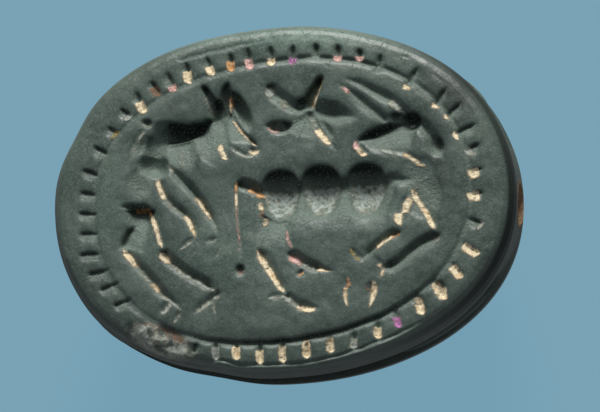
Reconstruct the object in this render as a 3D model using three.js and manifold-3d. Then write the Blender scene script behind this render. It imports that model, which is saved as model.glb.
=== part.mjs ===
// A carved stone seal in the form of a beetle, lying on its back with the engraved face up.
// Millimetres. +X runs along the string hole, +Y to the top of the engraved scene, +Z out of the face.
import * as THREE from 'three';
import { mergeVertices } from 'three/addons/utils/BufferGeometryUtils.js';
import Module from 'manifold-3d';

const wasm = await Module();
wasm.setup();

// The stone as a whole
const LENGTH = 16.0;
const WIDTH = 12.0;
const HEIGHT = 8.0;
const ROUNDNESS = 2.17; // 2 is an ellipse, more is squarer
const OUTLINE_TURN = 3.2; // degrees that the oval is turned from the string hole
const AROUND = 72; // points round the oval

// Places where the hand-cut oval leaves its formula: degrees, spread in degrees, millimetres
const WAVERS = [
  { at: 18, spread: 10, by: -0.06 },
  { at: 84, spread: 16, by: 0.07 },
  { at: 132, spread: 30, by: 0.1 },
  { at: 162, spread: 8, by: -0.13 }, // worn shoulder
  { at: 213, spread: 9, by: 0.08 },
  { at: 245, spread: 10, by: -0.1 },
  { at: 312, spread: 28, by: -0.08 },
];

// Profile from the face down to the resting spot: share of the oval's size, height above the table
const BASE_TOP = 7.42;
const BASE_BOTTOM = 6.1;
const LEG_BAND_TOP = 5.95;
const LEG_BAND_BOTTOM = 4.85;
const LEG_BAND_INSET = 0.09; // share taken off the long sides, nothing at the two ends
const FACE_SHARE = 0.93;
const REST_SPOT_SHARE = 0.18;
const PROFILE = [
  { share: FACE_SHARE, z: HEIGHT },
  { share: 0.967, z: 7.88 },
  { share: 0.991, z: 7.68 },
  { share: 1.0, z: BASE_TOP },
  { share: 1.0, z: BASE_BOTTOM },
  { share: 1.0, z: LEG_BAND_TOP, inset: LEG_BAND_INSET },
  { share: 1.0, z: LEG_BAND_BOTTOM, inset: LEG_BAND_INSET },
  { share: 1.0, z: 4.7 },
  { share: 0.985, z: 3.9 },
  { share: 0.945, z: 3.05 },
  { share: 0.86, z: 2.05 },
  { share: 0.72, z: 1.15 },
  { share: 0.53, z: 0.5 },
  { share: 0.34, z: 0.12 },
  { share: REST_SPOT_SHARE, z: 0 },
];

// String hole along the whole stone
const HOLE_RADIUS = 0.7;
const HOLE_Z = 5.3;
const HOLE_SIDES = 20;

// Line that frames the scene, and the band of short cuts outside it
const FRAME_LINE = { x: 0.03, y: -0.06, length: 13.15, width: 9.72, roundness: 2.22, turn: 7.9 };
const FRAME_LINE_WIDTH = 0.16;
const FRAME_LINE_DEPTH = 0.12;
const FRAME_LINE_STEPS = 54;
const HATCH_WIDTH = 0.3;
const HATCH_DEPTH = 0.2;

// The short cuts: degrees round the framing line, how far outside it their middle is, length, and
// the way they point in degrees
const HATCHES = [
  { at: 0.8, out: 0.16, length: 0.59, heading: 7 },
  { at: 7.7, out: 0.2, length: 0.49, heading: 12 },
  { at: 14.4, out: 0.25, length: 0.56, heading: 29 },
  { at: 20.1, out: 0.2, length: 0.88, heading: 29 },
  { at: 26.7, out: 0.2, length: 0.74, heading: 42 },
  { at: 32.1, out: 0.13, length: 0.77, heading: 54 },
  { at: 42.7, out: 0.07, length: 0.88, heading: 56 },
  { at: 54.1, out: 0.08, length: 0.65, heading: 77 },
  { at: 61.7, out: 0.24, length: 0.42, heading: 85 },
  { at: 69.1, out: 0.19, length: 0.56, heading: 90 },
  { at: 77.2, out: 0.24, length: 0.49, heading: 90 },
  { at: 85.7, out: 0.11, length: 0.63, heading: 84 },
  { at: 94.2, out: 0.17, length: 0.66, heading: 93 },
  { at: 102.9, out: 0.2, length: 0.74, heading: 99 },
  { at: 110.2, out: 0.23, length: 0.59, heading: 96 },
  { at: 117.8, out: 0.31, length: 0.65, heading: 113 },
  { at: 126, out: 0.36, length: 0.7, heading: 101 },
  { at: 132.3, out: 0.34, length: 0.71, heading: 117 },
  { at: 137.7, out: 0.41, length: 0.61, heading: 121 },
  { at: 144.2, out: 0.31, length: 0.78, heading: 117 },
  { at: 149.5, out: 0.36, length: 0.48, heading: 144 },
  { at: 156.3, out: 0.28, length: 0.45, heading: 148 },
  { at: 163.3, out: 0.27, length: 0.54, heading: 149 },
  { at: 170.3, out: 0.28, length: 0.6, heading: 159 },
  { at: 176.5, out: 0.22, length: 0.57, heading: 166 },
  { at: 182.4, out: 0.2, length: 0.66, heading: 174 },
  { at: 188.4, out: 0.24, length: 0.66, heading: 177 },
  { at: 194.3, out: 0.31, length: 0.73, heading: 182 },
  { at: 200, out: 0.27, length: 0.75, heading: 193 },
  { at: 205.3, out: 0.19, length: 0.68, heading: 202 },
  { at: 211.5, out: 0.16, length: 0.64, heading: 202 },
  { at: 239.1, out: 0.36, length: 0.33, heading: 250 },
  { at: 246, out: 0.33, length: 0.62, heading: 270 },
  { at: 253.2, out: 0.28, length: 0.55, heading: 270 },
  { at: 261.7, out: 0.37, length: 0.7, heading: 270 },
  { at: 270.3, out: 0.36, length: 0.73, heading: 270 },
  { at: 279.5, out: 0.35, length: 0.66, heading: 270 },
  { at: 288.6, out: 0.36, length: 0.59, heading: 274 },
  { at: 296.9, out: 0.44, length: 0.62, heading: 266 },
  { at: 306.3, out: 0.4, length: 0.63, heading: 270 },
  { at: 314.2, out: 0.3, length: 0.8, heading: 285 },
  { at: 322.5, out: 0.36, length: 0.76, heading: 286 },
  { at: 330, out: 0.41, length: 0.81, heading: 301 },
  { at: 337.5, out: 0.4, length: 0.71, heading: 309 },
  { at: 344.9, out: 0.4, length: 0.77, heading: 324 },
  { at: 352.8, out: 0.24, length: 0.63, heading: 340 },
];

// Long cuts of the engraving, each made by one pass of a wheel: the path on the face from the
// stone's middle, the width at the face, and the depth
const BEAST = [
  { part: 'left ear', width: 0.31, depth: 0.12,
    path: [[-2.71, 3.91], [-2.58, 3.59], [-2.37, 3.18], [-2.19, 2.86]] },
  { part: 'right ear', width: 0.27, depth: 0.2, path: [[-1.82, 4.18], [-1.82, 3.58], [-1.75, 3.03]] },
  { part: 'forehead', width: 0.71, depth: 0.28,
    path: [[-1.57, 3.88], [-1.48, 2.92], [-0.96, 2.23], [-0.6, 1.9]] },
  { part: 'face', width: 0.97, depth: 0.24,
    path: [[-2.1, 2.9], [-1.98, 2.61], [-1.71, 2.23], [-1.31, 1.76]] },
  { part: 'mouth', width: 0.24, depth: 0.12,
    path: [[-1.77, 1.89], [-1.53, 1.68], [-1.23, 1.52], [-0.88, 1.52]] },
  { part: 'throat', width: 0.31, depth: 0.12, path: [[-2.11, 1.94], [-2, 1.69], [-1.83, 1.31]] },
  { part: 'jowl', width: 0.31, depth: 0.12, path: [[-2.8, 2.41], [-2.53, 2.24], [-2.24, 2.21]] },
  { part: 'chest', width: 1.14, depth: 0.32,
    path: [[-4.27, 1.56], [-3.55, 1.6], [-2.89, 1.7], [-2.1, 1.63]] },
  { part: 'tail', width: 0.27, depth: 0.12,
    path: [[-4.7, 2.56], [-5.09, 2.04], [-5.29, 1.47], [-5.4, 0.88]] },
  { part: 'side of the tail', width: 0.56, depth: 0.12,
    path: [[-4.67, 2.3], [-4.88, 1.84], [-4.99, 1.43]] },
  { part: 'near foreleg', width: 0.55, depth: 0.22,
    path: [[-3.99, 1.27], [-3.16, 0.4], [-2.59, -0.33], [-2.1, -1.28]] },
  { part: 'near forepaw', width: 0.26, depth: 0.12, path: [[-2.59, -1.45], [-2.17, -1.35]] },
  { part: 'far foreleg', width: 0.42, depth: 0.18,
    path: [[-4.26, 0.84], [-3.8, -0.1], [-3.18, -0.7], [-2.93, -1.29]] },
  { part: 'far forepaw', width: 0.3, depth: 0.12, path: [[-3.01, -1.28], [-3.57, -1.76]] },
  { part: 'waist', width: 0.45, depth: 0.22, path: [[-5.57, -0.16], [-5.16, -0.26], [-4.58, -0.19]] },
  { part: 'front of thigh', width: 0.35, depth: 0.12,
    path: [[-4.7, -0.26], [-4.49, -0.57], [-4.32, -1.02], [-4.15, -1.65]] },
  { part: 'back of thigh', width: 1.11, depth: 0.18, path: [[-4.75, -0.9], [-5.06, -1.27], [-5.3, -1.8]] },
  { part: 'near hind leg', width: 0.52, depth: 0.2,
    path: [[-5.53, -1.59], [-4.59, -2.67], [-3.79, -3.47], [-3.38, -3.89]] },
  { part: 'near hind toe', width: 0.33, depth: 0.12, path: [[-3.84, -3.51], [-4.22, -3.97]] },
  { part: 'near hind heel', width: 0.26, depth: 0.12, path: [[-3.48, -3.87], [-3.79, -4.29]] },
  { part: 'far hind leg', width: 0.59, depth: 0.24,
    path: [[-4.22, -1.7], [-3.81, -2.12], [-3.29, -2.5], [-2.8, -2.81], [-2.24, -3.16]] },
  { part: 'far hind foot', width: 0.42, depth: 0.15,
    path: [[-2.06, -3.17], [-2.52, -3.51], [-3.07, -3.97]] },
  { part: 'far hind toe', width: 0.17, depth: 0.12, path: [[-2.32, -3.44], [-2.25, -4.07]] },
];
const STAFF = [
  { part: 'staff', width: 0.2, depth: 0.12,
    path: [[-1.51, 0.63], [-1.51, -0.21], [-1.44, -1.15], [-1.37, -2.23]] },
];
const GOAT = [
  { part: 'rump', width: 0.48, depth: 0.24, path: [[-1.52, 0.58], [-1.06, 0.44], [-0.5, 0.13]] },
  { part: 'flank', width: 0.24, depth: 0.12, path: [[-0.83, 0.31], [-0.83, -0.73], [-0.8, -1.77]] },
  { part: 'body', width: 2.09, depth: 0.3,
    path: [[-0.74, -0.32], [0.67, -0.32], [2.18, -0.21], [4.09, -0.11]] },
  { part: 'withers', width: 0.55, depth: 0.15, path: [[3.57, 0.63], [4.2, 0.56], [4.76, 0.49]] },
  { part: 'far horn', width: 0.48, depth: 0.18,
    path: [[2.25, 4.14], [3.26, 3.65], [4.1, 3.13], [4.44, 2.78]] },
  { part: 'near horn', width: 0.49, depth: 0.17,
    path: [[2.06, 3.91], [2.44, 3.6], [2.89, 3.22], [3.31, 2.9], [3.73, 2.55]] },
  { part: 'brow', width: 0.45, depth: 0.2,
    path: [[2.66, 2.03], [3.1, 2.17], [3.59, 2.42], [4.12, 2.52], [4.46, 2.66]] },
  { part: 'goat face', width: 0.91, depth: 0.16,
    path: [[3.07, 1.62], [3.56, 1.8], [4.04, 2.03], [4.58, 1.96]] },
  { part: 'nose', width: 0.35, depth: 0.12, path: [[2.6, 1.94], [2.71, 1.68], [3, 1.41]] },
  { part: 'jaw', width: 0.31, depth: 0.12,
    path: [[3.09, 1.8], [3.54, 1.63], [4.03, 1.52], [4.47, 1.38], [5.02, 0.96]] },
  { part: 'behind the eye', width: 0.55, depth: 0.16,
    path: [[4.72, 2.84], [5.06, 2.35], [5.41, 1.86], [5.69, 1.38]] },
  { part: 'front of chest', width: 0.42, depth: 0.14,
    path: [[4.62, 0.31], [4.79, -0.14], [5.14, -0.56], [5.42, -1.22]] },
  { part: 'shoulder', width: 0.38, depth: 0.12, path: [[4.52, 0.01], [4.31, -0.43], [4.22, -1.04]] },
  { part: 'near foreleg', width: 0.49, depth: 0.19,
    path: [[4.22, -1.19], [3.69, -1.4], [3.21, -1.79], [2.75, -2.24]] },
  { part: 'far foreleg', width: 0.63, depth: 0.24,
    path: [[5.62, -1.4], [5.09, -1.54], [4.46, -1.95], [4.01, -2.27], [3.49, -2.51]] },
  { part: 'near hoof', width: 0.31, depth: 0.12, path: [[2.44, -1.8], [2.82, -2.22]] },
  { part: 'knee', width: 0.27, depth: 0.12, path: [[3.3, -2.11], [3.47, -2.4], [3.46, -2.89]] },
  { part: 'near shin', width: 0.3, depth: 0.12, path: [[2.33, -2.78], [2.28, -3.27], [2.31, -3.86]] },
  { part: 'far shin', width: 0.41, depth: 0.13, path: [[3.19, -2.92], [3.12, -3.38], [3.08, -3.9]] },
  { part: 'near hind leg', width: 0.56, depth: 0.2,
    path: [[-0.81, -1.74], [-0.53, -2.26], [-0.22, -2.75], [0.2, -3.34]] },
  { part: 'hock', width: 0.28, depth: 0.12, path: [[-0.46, -3.48], [-0.11, -3.38], [0.16, -3.38]] },
  { part: 'near hind shin', width: 0.42, depth: 0.15, path: [[0.16, -3.34], [0.51, -3.62], [0.82, -3.79]] },
  { part: 'near hind hoof', width: 0.43, depth: 0.17, path: [[0.52, -3.67], [0.89, -3.77], [1.38, -3.84]] },
  { part: 'far hind leg', width: 0.28, depth: 0.12, path: [[0.2, -1.01], [0.3, -1.43], [0.44, -1.81]] },
  { part: 'far hind shin', width: 0.55, depth: 0.22,
    path: [[0.25, -1.88], [0.67, -2.13], [1.08, -2.34], [1.53, -2.48], [1.94, -2.54]] },
];
const STAR = [
  { part: 'upper left ray', width: 0.62, depth: 0.22,
    path: [[-0.5, 3.93], [-0.11, 3.58], [0.3, 3.27], [0.79, 3.06]] },
  { part: 'upper ray', width: 0.55, depth: 0.26,
    path: [[1.34, 4.33], [1.2, 3.91], [1.06, 3.53], [0.92, 3.11]] },
  { part: 'right ray', width: 0.83, depth: 0.27,
    path: [[1.08, 3.13], [1.53, 3.02], [2.12, 2.92], [2.68, 2.74]] },
  { part: 'lower right ray', width: 0.55, depth: 0.19,
    path: [[1.06, 3.04], [1.24, 2.58], [1.54, 2.14], [1.96, 1.66]] },
  { part: 'lower left ray', width: 0.52, depth: 0.22,
    path: [[-0.51, 2.59], [-0.14, 2.48], [0.19, 2.51], [0.49, 2.81]] },
  { part: 'below the star', width: 0.97, depth: 0.16, path: [[0.32, 2.17], [0.76, 2.38], [1.17, 2.65]] },
];

// Round and oval hollows made by drills: middle, half-lengths, turn in degrees, depth
const HOLLOWS = [
  { part: 'mane', at: [-3.28, 2.47], reach: [0.9, 0.48], turn: 0, depth: 0.46 },
  { part: 'between the ears', at: [-2.17, 3.22], reach: [0.42, 0.33], turn: 0, depth: 0.28 },
  { part: 'beast shoulder', at: [-4.39, 1.3], reach: [0.56, 0.4], turn: 5, depth: 0.34 },
  { part: 'neck of the beast', at: [-4.26, 1.8], reach: [0.42, 0.59], turn: -25, depth: 0.2 },
  { part: 'back', at: [-4.88, 0.52], reach: [0.56, 0.7], turn: 20, depth: 0.1 },
  { part: 'muzzle', at: [-0.92, 1.67], reach: [0.23, 0.17], turn: 0, depth: 0.12 },
  { part: 'tail tip', at: [-4.67, 2.71], reach: [0.21, 0.17], turn: 0, depth: 0.15 },
  { part: 'foot of the staff', at: [-1.4, -2.47], reach: [0.17, 0.21], turn: 0, depth: 0.18 },
  { part: 'haunch', at: [-0.01, -0.07], reach: [0.66, 1.01], turn: 0, depth: 0.48 },
  { part: 'barrel', at: [1.38, 0.03], reach: [0.73, 1.04], turn: 0, depth: 0.54 },
  { part: 'goat shoulder', at: [2.95, 0.03], reach: [0.73, 1.08], turn: 0, depth: 0.48 },
  { part: 'eye', at: [4.51, 2.57], reach: [0.35, 0.35], turn: 0, depth: 0.36 },
  { part: 'behind the ear', at: [4.2, 2.71], reach: [0.49, 0.24], turn: 0, depth: 0.2 },
  { part: 'nape of the goat', at: [5.38, 1.74], reach: [0.28, 0.42], turn: 30, depth: 0.26 },
  { part: 'neck', at: [4.76, 0.8], reach: [0.7, 0.59], turn: 0, depth: 0.1 },
  { part: 'goat chest', at: [5, 0], reach: [0.66, 0.84], turn: 0, depth: 0.12 },
  { part: 'spur', at: [0.69, -2.61], reach: [0.16, 0.12], turn: 30, depth: 0.12 },
];
const SMALL_HOLLOW = 0.5; // below this reach a hollow needs fewer facets
const CUT_RISE = 0.03; // a cutter's middle stands this far above the face

// The beetle's back
const NECK_X = -2.7; // groove between the shield behind the head and the wing cases
const NECK_BOW = 0.5; // how much its ends turn to the head
const NECK_REACH = 5.4;
const HEAD_X = -5.4; // groove behind the head
const HEAD_BOW = 0.5; // how much its ends turn to the tail
const HEAD_REACH = 3.6;
const HEAD_DROP = 0.9; // how much lower than the shield the back is over the head
const HEAD_SLOPE = [-4.4, -7.2]; // the drop starts and ends here along the stone
const GROOVE_RADIUS = 0.16;
const TAIL_X = 7.2;
const LEG_RADIUS = 0.24;
const LEG_SHARE = 0.955; // middle of a leg, as a share of the outline
const LEGS = [
  { part: 'front leg', from: 160, to: 126 },
  { part: 'middle leg', from: 116, to: 74 },
  { part: 'hind leg', from: 64, to: 24 },
];
const LEG_BENDS = [0, 0.35, 0.7, 1]; // places along a leg where it bends up to the base

const radians = THREE.MathUtils.degToRad;

function power(value, exponent) {
  return Math.sign(value) * Math.abs(value) ** exponent;
}

// Point on an oval of the given length, width and roundness, turned about its middle
function ovalPoint(angle, length, width, roundness, turn) {
  const x = (length / 2) * power(Math.cos(angle), 2 / roundness);
  const y = (width / 2) * power(Math.sin(angle), 2 / roundness);
  return new THREE.Vector2(x, y).rotateAround(new THREE.Vector2(), radians(turn));
}

// The stone's outline at an angle round it, with the wavers of the hand-cut edge
function outline(angle) {
  const point = ovalPoint(angle, LENGTH, WIDTH, ROUNDNESS, OUTLINE_TURN);
  const degrees = THREE.MathUtils.euclideanModulo(THREE.MathUtils.radToDeg(point.angle()), 360);
  let change = 0;
  for (const waver of WAVERS) {
    change += waver.by * Math.exp(-(((degrees - waver.at) / waver.spread) ** 2));
  }
  return point.setLength(point.length() + change);
}

// How far the back falls away over the beetle's head, at a place along the stone and a height
function headFall(x, z) {
  const fall = HEAD_DROP * (1 - THREE.MathUtils.smoothstep(x, HEAD_SLOPE[1], HEAD_SLOPE[0]));
  return z < LEG_BAND_BOTTOM ? fall * (1 - z / LEG_BAND_BOTTOM) : 0;
}

// Height of the stone's back over a place on the table
function backHeight(x, y) {
  const flat = new THREE.Vector2(x, y).rotateAround(new THREE.Vector2(), -radians(OUTLINE_TURN));
  const angle = Math.atan2(
    power((2 * flat.y) / WIDTH, ROUNDNESS / 2),
    power((2 * flat.x) / LENGTH, ROUNDNESS / 2),
  );
  const share = flat.length() / outline(angle).length();
  const steps = PROFILE.filter((step) => step.z < LEG_BAND_BOTTOM);
  const outer = steps.findLast((step) => step.share >= share) ?? steps[0];
  const inner = steps[steps.indexOf(outer) + 1];
  const z = inner ? THREE.MathUtils.mapLinear(share, inner.share, outer.share, inner.z, outer.z) : 0;
  return z + headFall(x, z);
}

// A closed mesh as a solid
function solid(geometry) {
  const bare = new THREE.BufferGeometry();
  bare.setAttribute('position', geometry.getAttribute('position'));
  bare.setIndex(geometry.getIndex());
  const merged = mergeVertices(bare, 1e-5);
  const corners = merged.getIndex().array;
  const kept = [];
  for (let i = 0; i < corners.length; i += 3) {
    const [a, b, c] = corners.slice(i, i + 3);
    if (a !== b && b !== c && c !== a) {
      kept.push(a, b, c);
    }
  }
  const body = new wasm.Manifold(new wasm.Mesh({
    numProp: 3,
    vertProperties: new Float32Array(merged.getAttribute('position').array),
    triVerts: new Uint32Array(kept),
  }));
  if (body.volume() < 0) {
    throw new Error('a solid is inside out');
  }
  return body;
}

// Moves every point of a geometry through a function of (x, y, z)
function reshape(geometry, move) {
  const place = geometry.getAttribute('position');
  const point = new THREE.Vector3();
  for (let i = 0; i < place.count; i += 1) {
    point.fromBufferAttribute(place, i);
    const moved = move(point);
    place.setXYZ(i, moved.x, moved.y, moved.z);
  }
  return geometry;
}

// The whole stone before any carving
function makeBlank() {
  const profile = [new THREE.Vector2(0, 0)];
  for (const step of [...PROFILE].reverse()) {
    profile.push(new THREE.Vector2(step.share, step.z));
  }
  profile.push(new THREE.Vector2(0, HEIGHT));
  const lathe = new THREE.LatheGeometry(profile, AROUND);
  lathe.rotateX(Math.PI / 2);
  return solid(reshape(lathe, (point) => {
    const angle = Math.atan2(point.y, point.x);
    const step = PROFILE.find((each) => Math.abs(each.z - point.z) < 1e-4);
    const share = Math.hypot(point.x, point.y);
    const inset = step?.inset ? step.inset * Math.sin(angle) ** 2 : 0;
    const edge = outline(angle).multiplyScalar(share - inset);
    return new THREE.Vector3(edge.x, edge.y, point.z + headFall(edge.x, point.z));
  }));
}

// A spindle bent along a path on the face: what one pass of a wheel takes out
function wheelCut({ path, width, depth }, sides = 6, rings = path.length + 1) {
  const curve = new THREE.CatmullRomCurve3(
    path.map(([x, y]) => new THREE.Vector3(x, y, HEIGHT + CUT_RISE)),
  );
  const profile = [];
  for (let ring = 0; ring <= rings; ring += 1) {
    const along = ring / rings;
    const girth = Math.sin(Math.PI * along) ** 0.7;
    profile.push(new THREE.Vector2(ring === 0 || ring === rings ? 0 : girth, along));
  }
  const lathe = new THREE.LatheGeometry(profile, sides);
  return solid(reshape(lathe, (point) => {
    const along = THREE.MathUtils.clamp(point.y, 0, 1);
    const middle = curve.getPointAt(along);
    const heading = curve.getTangentAt(along);
    const across = new THREE.Vector3(heading.y, -heading.x, 0).setLength(1);
    const moved = middle.addScaledVector(across, (point.x * width) / 2);
    moved.z += point.z * (depth + CUT_RISE);
    return moved;
  }));
}

// What a round drill takes out of the face
function hollow({ at, reach, turn, depth }) {
  const small = Math.max(...reach) < SMALL_HOLLOW;
  const ball = new THREE.SphereGeometry(1, small ? 8 : 12, small ? 4 : 8);
  ball.rotateX(Math.PI / 2);
  ball.scale(reach[0], reach[1], depth + CUT_RISE);
  ball.rotateZ(radians(turn));
  ball.translate(at[0], at[1], HEIGHT + CUT_RISE);
  return solid(ball);
}

// Point of the framing line in a direction from its middle, moved outwards by a distance
function framePoint(degrees, out = 0) {
  const { x, y, length, width, roundness, turn } = FRAME_LINE;
  const angle = radians(degrees - turn);
  const along = Math.abs((2 * Math.cos(angle)) / length) ** roundness;
  const across = Math.abs((2 * Math.sin(angle)) / width) ** roundness;
  const size = (along + across) ** (-1 / roundness) + out;
  return new THREE.Vector2(size, 0).rotateAround(new THREE.Vector2(), radians(degrees)).add({ x, y });
}

// The line that frames the scene, as a ring with a pointed section
function frameLine() {
  const section = [[1.5, 0], [1, 1], [0.5, 0], [1, -1], [1.5, 0]];
  const profile = section.map(([across, up]) => new THREE.Vector2(across, up));
  const lathe = new THREE.LatheGeometry(profile, FRAME_LINE_STEPS);
  lathe.rotateX(Math.PI / 2);
  return solid(reshape(lathe, (point) => {
    const degrees = THREE.MathUtils.radToDeg(Math.atan2(point.y, point.x));
    const across = Math.hypot(point.x, point.y) - 1;
    const place = framePoint(degrees, across * FRAME_LINE_WIDTH);
    return new THREE.Vector3(place.x, place.y, HEIGHT + CUT_RISE + point.z * (FRAME_LINE_DEPTH + CUT_RISE));
  }));
}

// The short cuts that stand round the framing line
function hatches() {
  return HATCHES.map(({ at, out, length, heading }) => {
    const middle = framePoint(at, out);
    const half = new THREE.Vector2(length / 2, 0).rotateAround(new THREE.Vector2(), radians(heading));
    const path = [middle.clone().sub(half).toArray(), middle.clone().add(half).toArray()];
    return wheelCut({ path, width: HATCH_WIDTH, depth: HATCH_DEPTH }, 4, 3);
  });
}

// A rod along a curve
function rod(points, radius, sides, steps) {
  const section = new THREE.Shape();
  for (let side = 0; side < sides; side += 1) {
    const angle = (side / sides) * 2 * Math.PI;
    const corner = [radius * Math.cos(angle), radius * Math.sin(angle)];
    if (side === 0) {
      section.moveTo(...corner);
    } else {
      section.lineTo(...corner);
    }
  }
  section.closePath();
  return solid(new THREE.ExtrudeGeometry(section, {
    steps,
    bevelEnabled: false,
    extrudePath: new THREE.CatmullRomCurve3(points),
  }));
}

// Groove on the beetle's back, over the points given from above
function backGroove(points, steps) {
  const path = points.map(([x, y]) => new THREE.Vector3(x, y, backHeight(x, y)));
  return rod(path, GROOVE_RADIUS, 4, steps);
}

// Lines that part the head, the shield and the two wing cases
function backGrooves() {
  const across = [-1, -0.8, -0.55, -0.28, 0, 0.28, 0.55, 0.8, 1];
  const neck = across.map((side) => [NECK_X - NECK_BOW * side ** 2, NECK_REACH * side]);
  const head = across.map((side) => [HEAD_X + HEAD_BOW * side ** 2, HEAD_REACH * side]);
  const middle = [0, 0.15, 0.4, 0.6, 0.8, 0.92, 1].map((along) => [
    THREE.MathUtils.lerp(NECK_X, TAIL_X, along),
    0,
  ]);
  return [backGroove(neck, 14), backGroove(head, 10), backGroove(middle, 10)];
}

// Three folded legs on each long side, standing out of the band under the base
function legs() {
  const made = [];
  for (const side of [1, -1]) {
    for (const { from, to } of LEGS) {
      const points = LEG_BENDS.map((along) => {
        const place = outline(side * radians(THREE.MathUtils.lerp(from, to, along)));
        place.multiplyScalar(LEG_SHARE);
        return new THREE.Vector3(
          place.x,
          place.y,
          THREE.MathUtils.lerp(LEG_BAND_BOTTOM, LEG_BAND_TOP, along ** 0.7),
        );
      });
      made.push(rod(points, LEG_RADIUS, 6, 5));
    }
  }
  return made;
}

function stringHole() {
  const bore = new THREE.CylinderGeometry(HOLE_RADIUS, HOLE_RADIUS, LENGTH + 2, HOLE_SIDES);
  bore.rotateZ(Math.PI / 2);
  bore.translate(0, 0, HOLE_Z);
  return solid(bore);
}

function makeSeal() {
  let stone = makeBlank();
  for (const leg of legs()) {
    stone = stone.add(leg);
  }
  const cutters = [stringHole(), frameLine(), ...hatches(), ...backGrooves()];
  for (const cut of [...BEAST, ...STAFF, ...GOAT, ...STAR]) {
    cutters.push(wheelCut(cut));
  }
  for (const each of HOLLOWS) {
    cutters.push(hollow(each));
  }
  for (const cutter of cutters) {
    stone = stone.subtract(cutter);
  }
  const { vertProperties, triVerts } = stone.getMesh();
  const geometry = new THREE.BufferGeometry();
  geometry.setAttribute('position', new THREE.BufferAttribute(new Float32Array(vertProperties), 3));
  geometry.setIndex(new THREE.BufferAttribute(new Uint32Array(triVerts), 1));
  geometry.computeVertexNormals();
  return geometry;
}

const stoneMaterial = new THREE.MeshStandardMaterial({ color: 0x4c5a52, roughness: 0.45, metalness: 0 });

const seal = new THREE.Mesh(makeSeal(), stoneMaterial);
seal.name = 'scarab_seal';

const part = new THREE.Group();
part.add(seal);

export default part;
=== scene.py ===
"""Looks of a carved stone seal in the form of a beetle, lying on its back with the engraved face up."""

import math

import bmesh
import bpy
import numpy as np
from bpy.props import FloatProperty, FloatVectorProperty, PointerProperty
from mathutils import Matrix, Vector


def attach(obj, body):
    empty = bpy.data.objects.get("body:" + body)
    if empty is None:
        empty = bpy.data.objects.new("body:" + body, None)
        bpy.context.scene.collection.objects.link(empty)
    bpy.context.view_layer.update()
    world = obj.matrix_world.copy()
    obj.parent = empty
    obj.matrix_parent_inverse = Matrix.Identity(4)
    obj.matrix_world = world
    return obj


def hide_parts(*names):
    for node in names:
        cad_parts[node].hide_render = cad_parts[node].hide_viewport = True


bl_info = {
    "name": "Beetle seal",
    "version": (1, 0, 0),
    "blender": (4, 5, 0),
    "location": "View3D > Sidebar > Seal",
    "description": "Carves a beetle-shaped stone seal, colours it and sets its stage",
    "category": "Object",
}

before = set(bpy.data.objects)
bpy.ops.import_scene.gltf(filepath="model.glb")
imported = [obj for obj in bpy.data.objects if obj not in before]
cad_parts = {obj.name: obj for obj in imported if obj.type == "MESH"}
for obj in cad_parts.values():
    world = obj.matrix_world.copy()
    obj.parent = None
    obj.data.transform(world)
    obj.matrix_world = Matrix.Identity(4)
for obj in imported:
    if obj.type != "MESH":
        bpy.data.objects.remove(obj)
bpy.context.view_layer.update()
NODE = "scarab_seal"
MM = 0.001  # sizes and places below are in millimetres where their comment says nothing else

# The stone's oval: how square it is and how far it is turned from the string hole
ROUNDNESS = 2.17
OUTLINE_TURN = 3.2
# Where the hand-cut edge leaves the oval: degrees, spread in degrees, millimetres
WAVERS = ((18, 10, -0.06), (84, 16, 0.07), (132, 30, 0.1), (162, 8, -0.13), (213, 9, 0.08), (245, 10, -0.1),
          (312, 28, -0.08))

# Profile from the middle of the face to the resting spot: share of the oval, height
HEIGHT = 8.0
LEG_BAND_TOP = 5.95
LEG_BAND_BOTTOM = 4.85
LEG_BAND_INSET = 0.09
WIDEST = (1.0, 7.1)  # where the rounded edge of the face ends
PROFILE = (
    (0.0, HEIGHT), (0.45, HEIGHT), (0.75, 7.97), (0.9, 7.9), (0.94, 7.85), (0.964, 7.77), (0.982, 7.6),
    (0.995, 7.32), WIDEST, (1.0, 6.12), (0.996, 6.04), (1.0, LEG_BAND_TOP), (1.0, LEG_BAND_BOTTOM),
    (1.0, 4.72), (0.985, 3.9), (0.945, 3.05), (0.86, 2.05), (0.72, 1.15), (0.53, 0.5),
    (0.34, 0.12), (0.2, 0.0), (0.0, 0.0),
)
PROFILE_SOFTNESS = 0.05

# The beetle's back and the string hole
HOLE_RADIUS = 0.7
HOLE_Z = 5.3
MOUTH_FROM_X = 6.0  # the hole's two mouths lie further out than this
BORE_STEPS = 15  # lengths that the hole's wall is made of
MOUTH_DIRT = 0.6
BORE_DIRT = 0.6
NECK_X, NECK_BOW, NECK_REACH = -2.7, 0.5, 5.4
HEAD_X, HEAD_BOW, HEAD_REACH = -5.4, 0.5, 3.6
HEAD_DROP = 0.9
HEAD_SLOPE = (-7.2, -4.4)
TAIL_X = 7.2
GROOVE_WIDTH = 0.3
GROOVE_DEPTH = 0.16
LEG_WIDTH = 0.5
LEG_HEIGHT = 0.36
LEG_SHARE = 0.94  # where the legs' middle lines lie, as a share of the oval
LEGS = ((160, 126), (116, 74), (64, 24))  # start and end of each leg of one side, degrees round the oval
LEG_BENDS = (0, 0.35, 0.7, 1)

# The photograph, in its own pixels: its size, the middle of the stone, and the scale of the face
PICTURE_WIDTH = 600
PICTURE_HEIGHT = 412
MIDDLE_PX = (281.3, 199.0)
FACE_PX_PER_MM = 28.74

# Painted shade on the rounded edge at the bottom and at the right of the picture, where no light falls: how
# dark it is there
EDGE_SHADE_BELOW, EDGE_SHADE_BESIDE = 0.68, 0.95

# Edge lengths of the mesh at the hole's mouth and along the face's rounded edge, and how many times
# too long an edge is before it is split
MOUTH_EDGE = 0.08
RIM_EDGE = 0.09
SPLIT_FROM = 1.35

# Framing line round the engraved scene
FRAME_CENTRE = (0.03, -0.06)
FRAME_LENGTH, FRAME_WIDTH, FRAME_ROUNDNESS, FRAME_TURN = 13.15, 9.72, 2.22, 7.9
FRAME_LINE_WIDTH = 0.2

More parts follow.
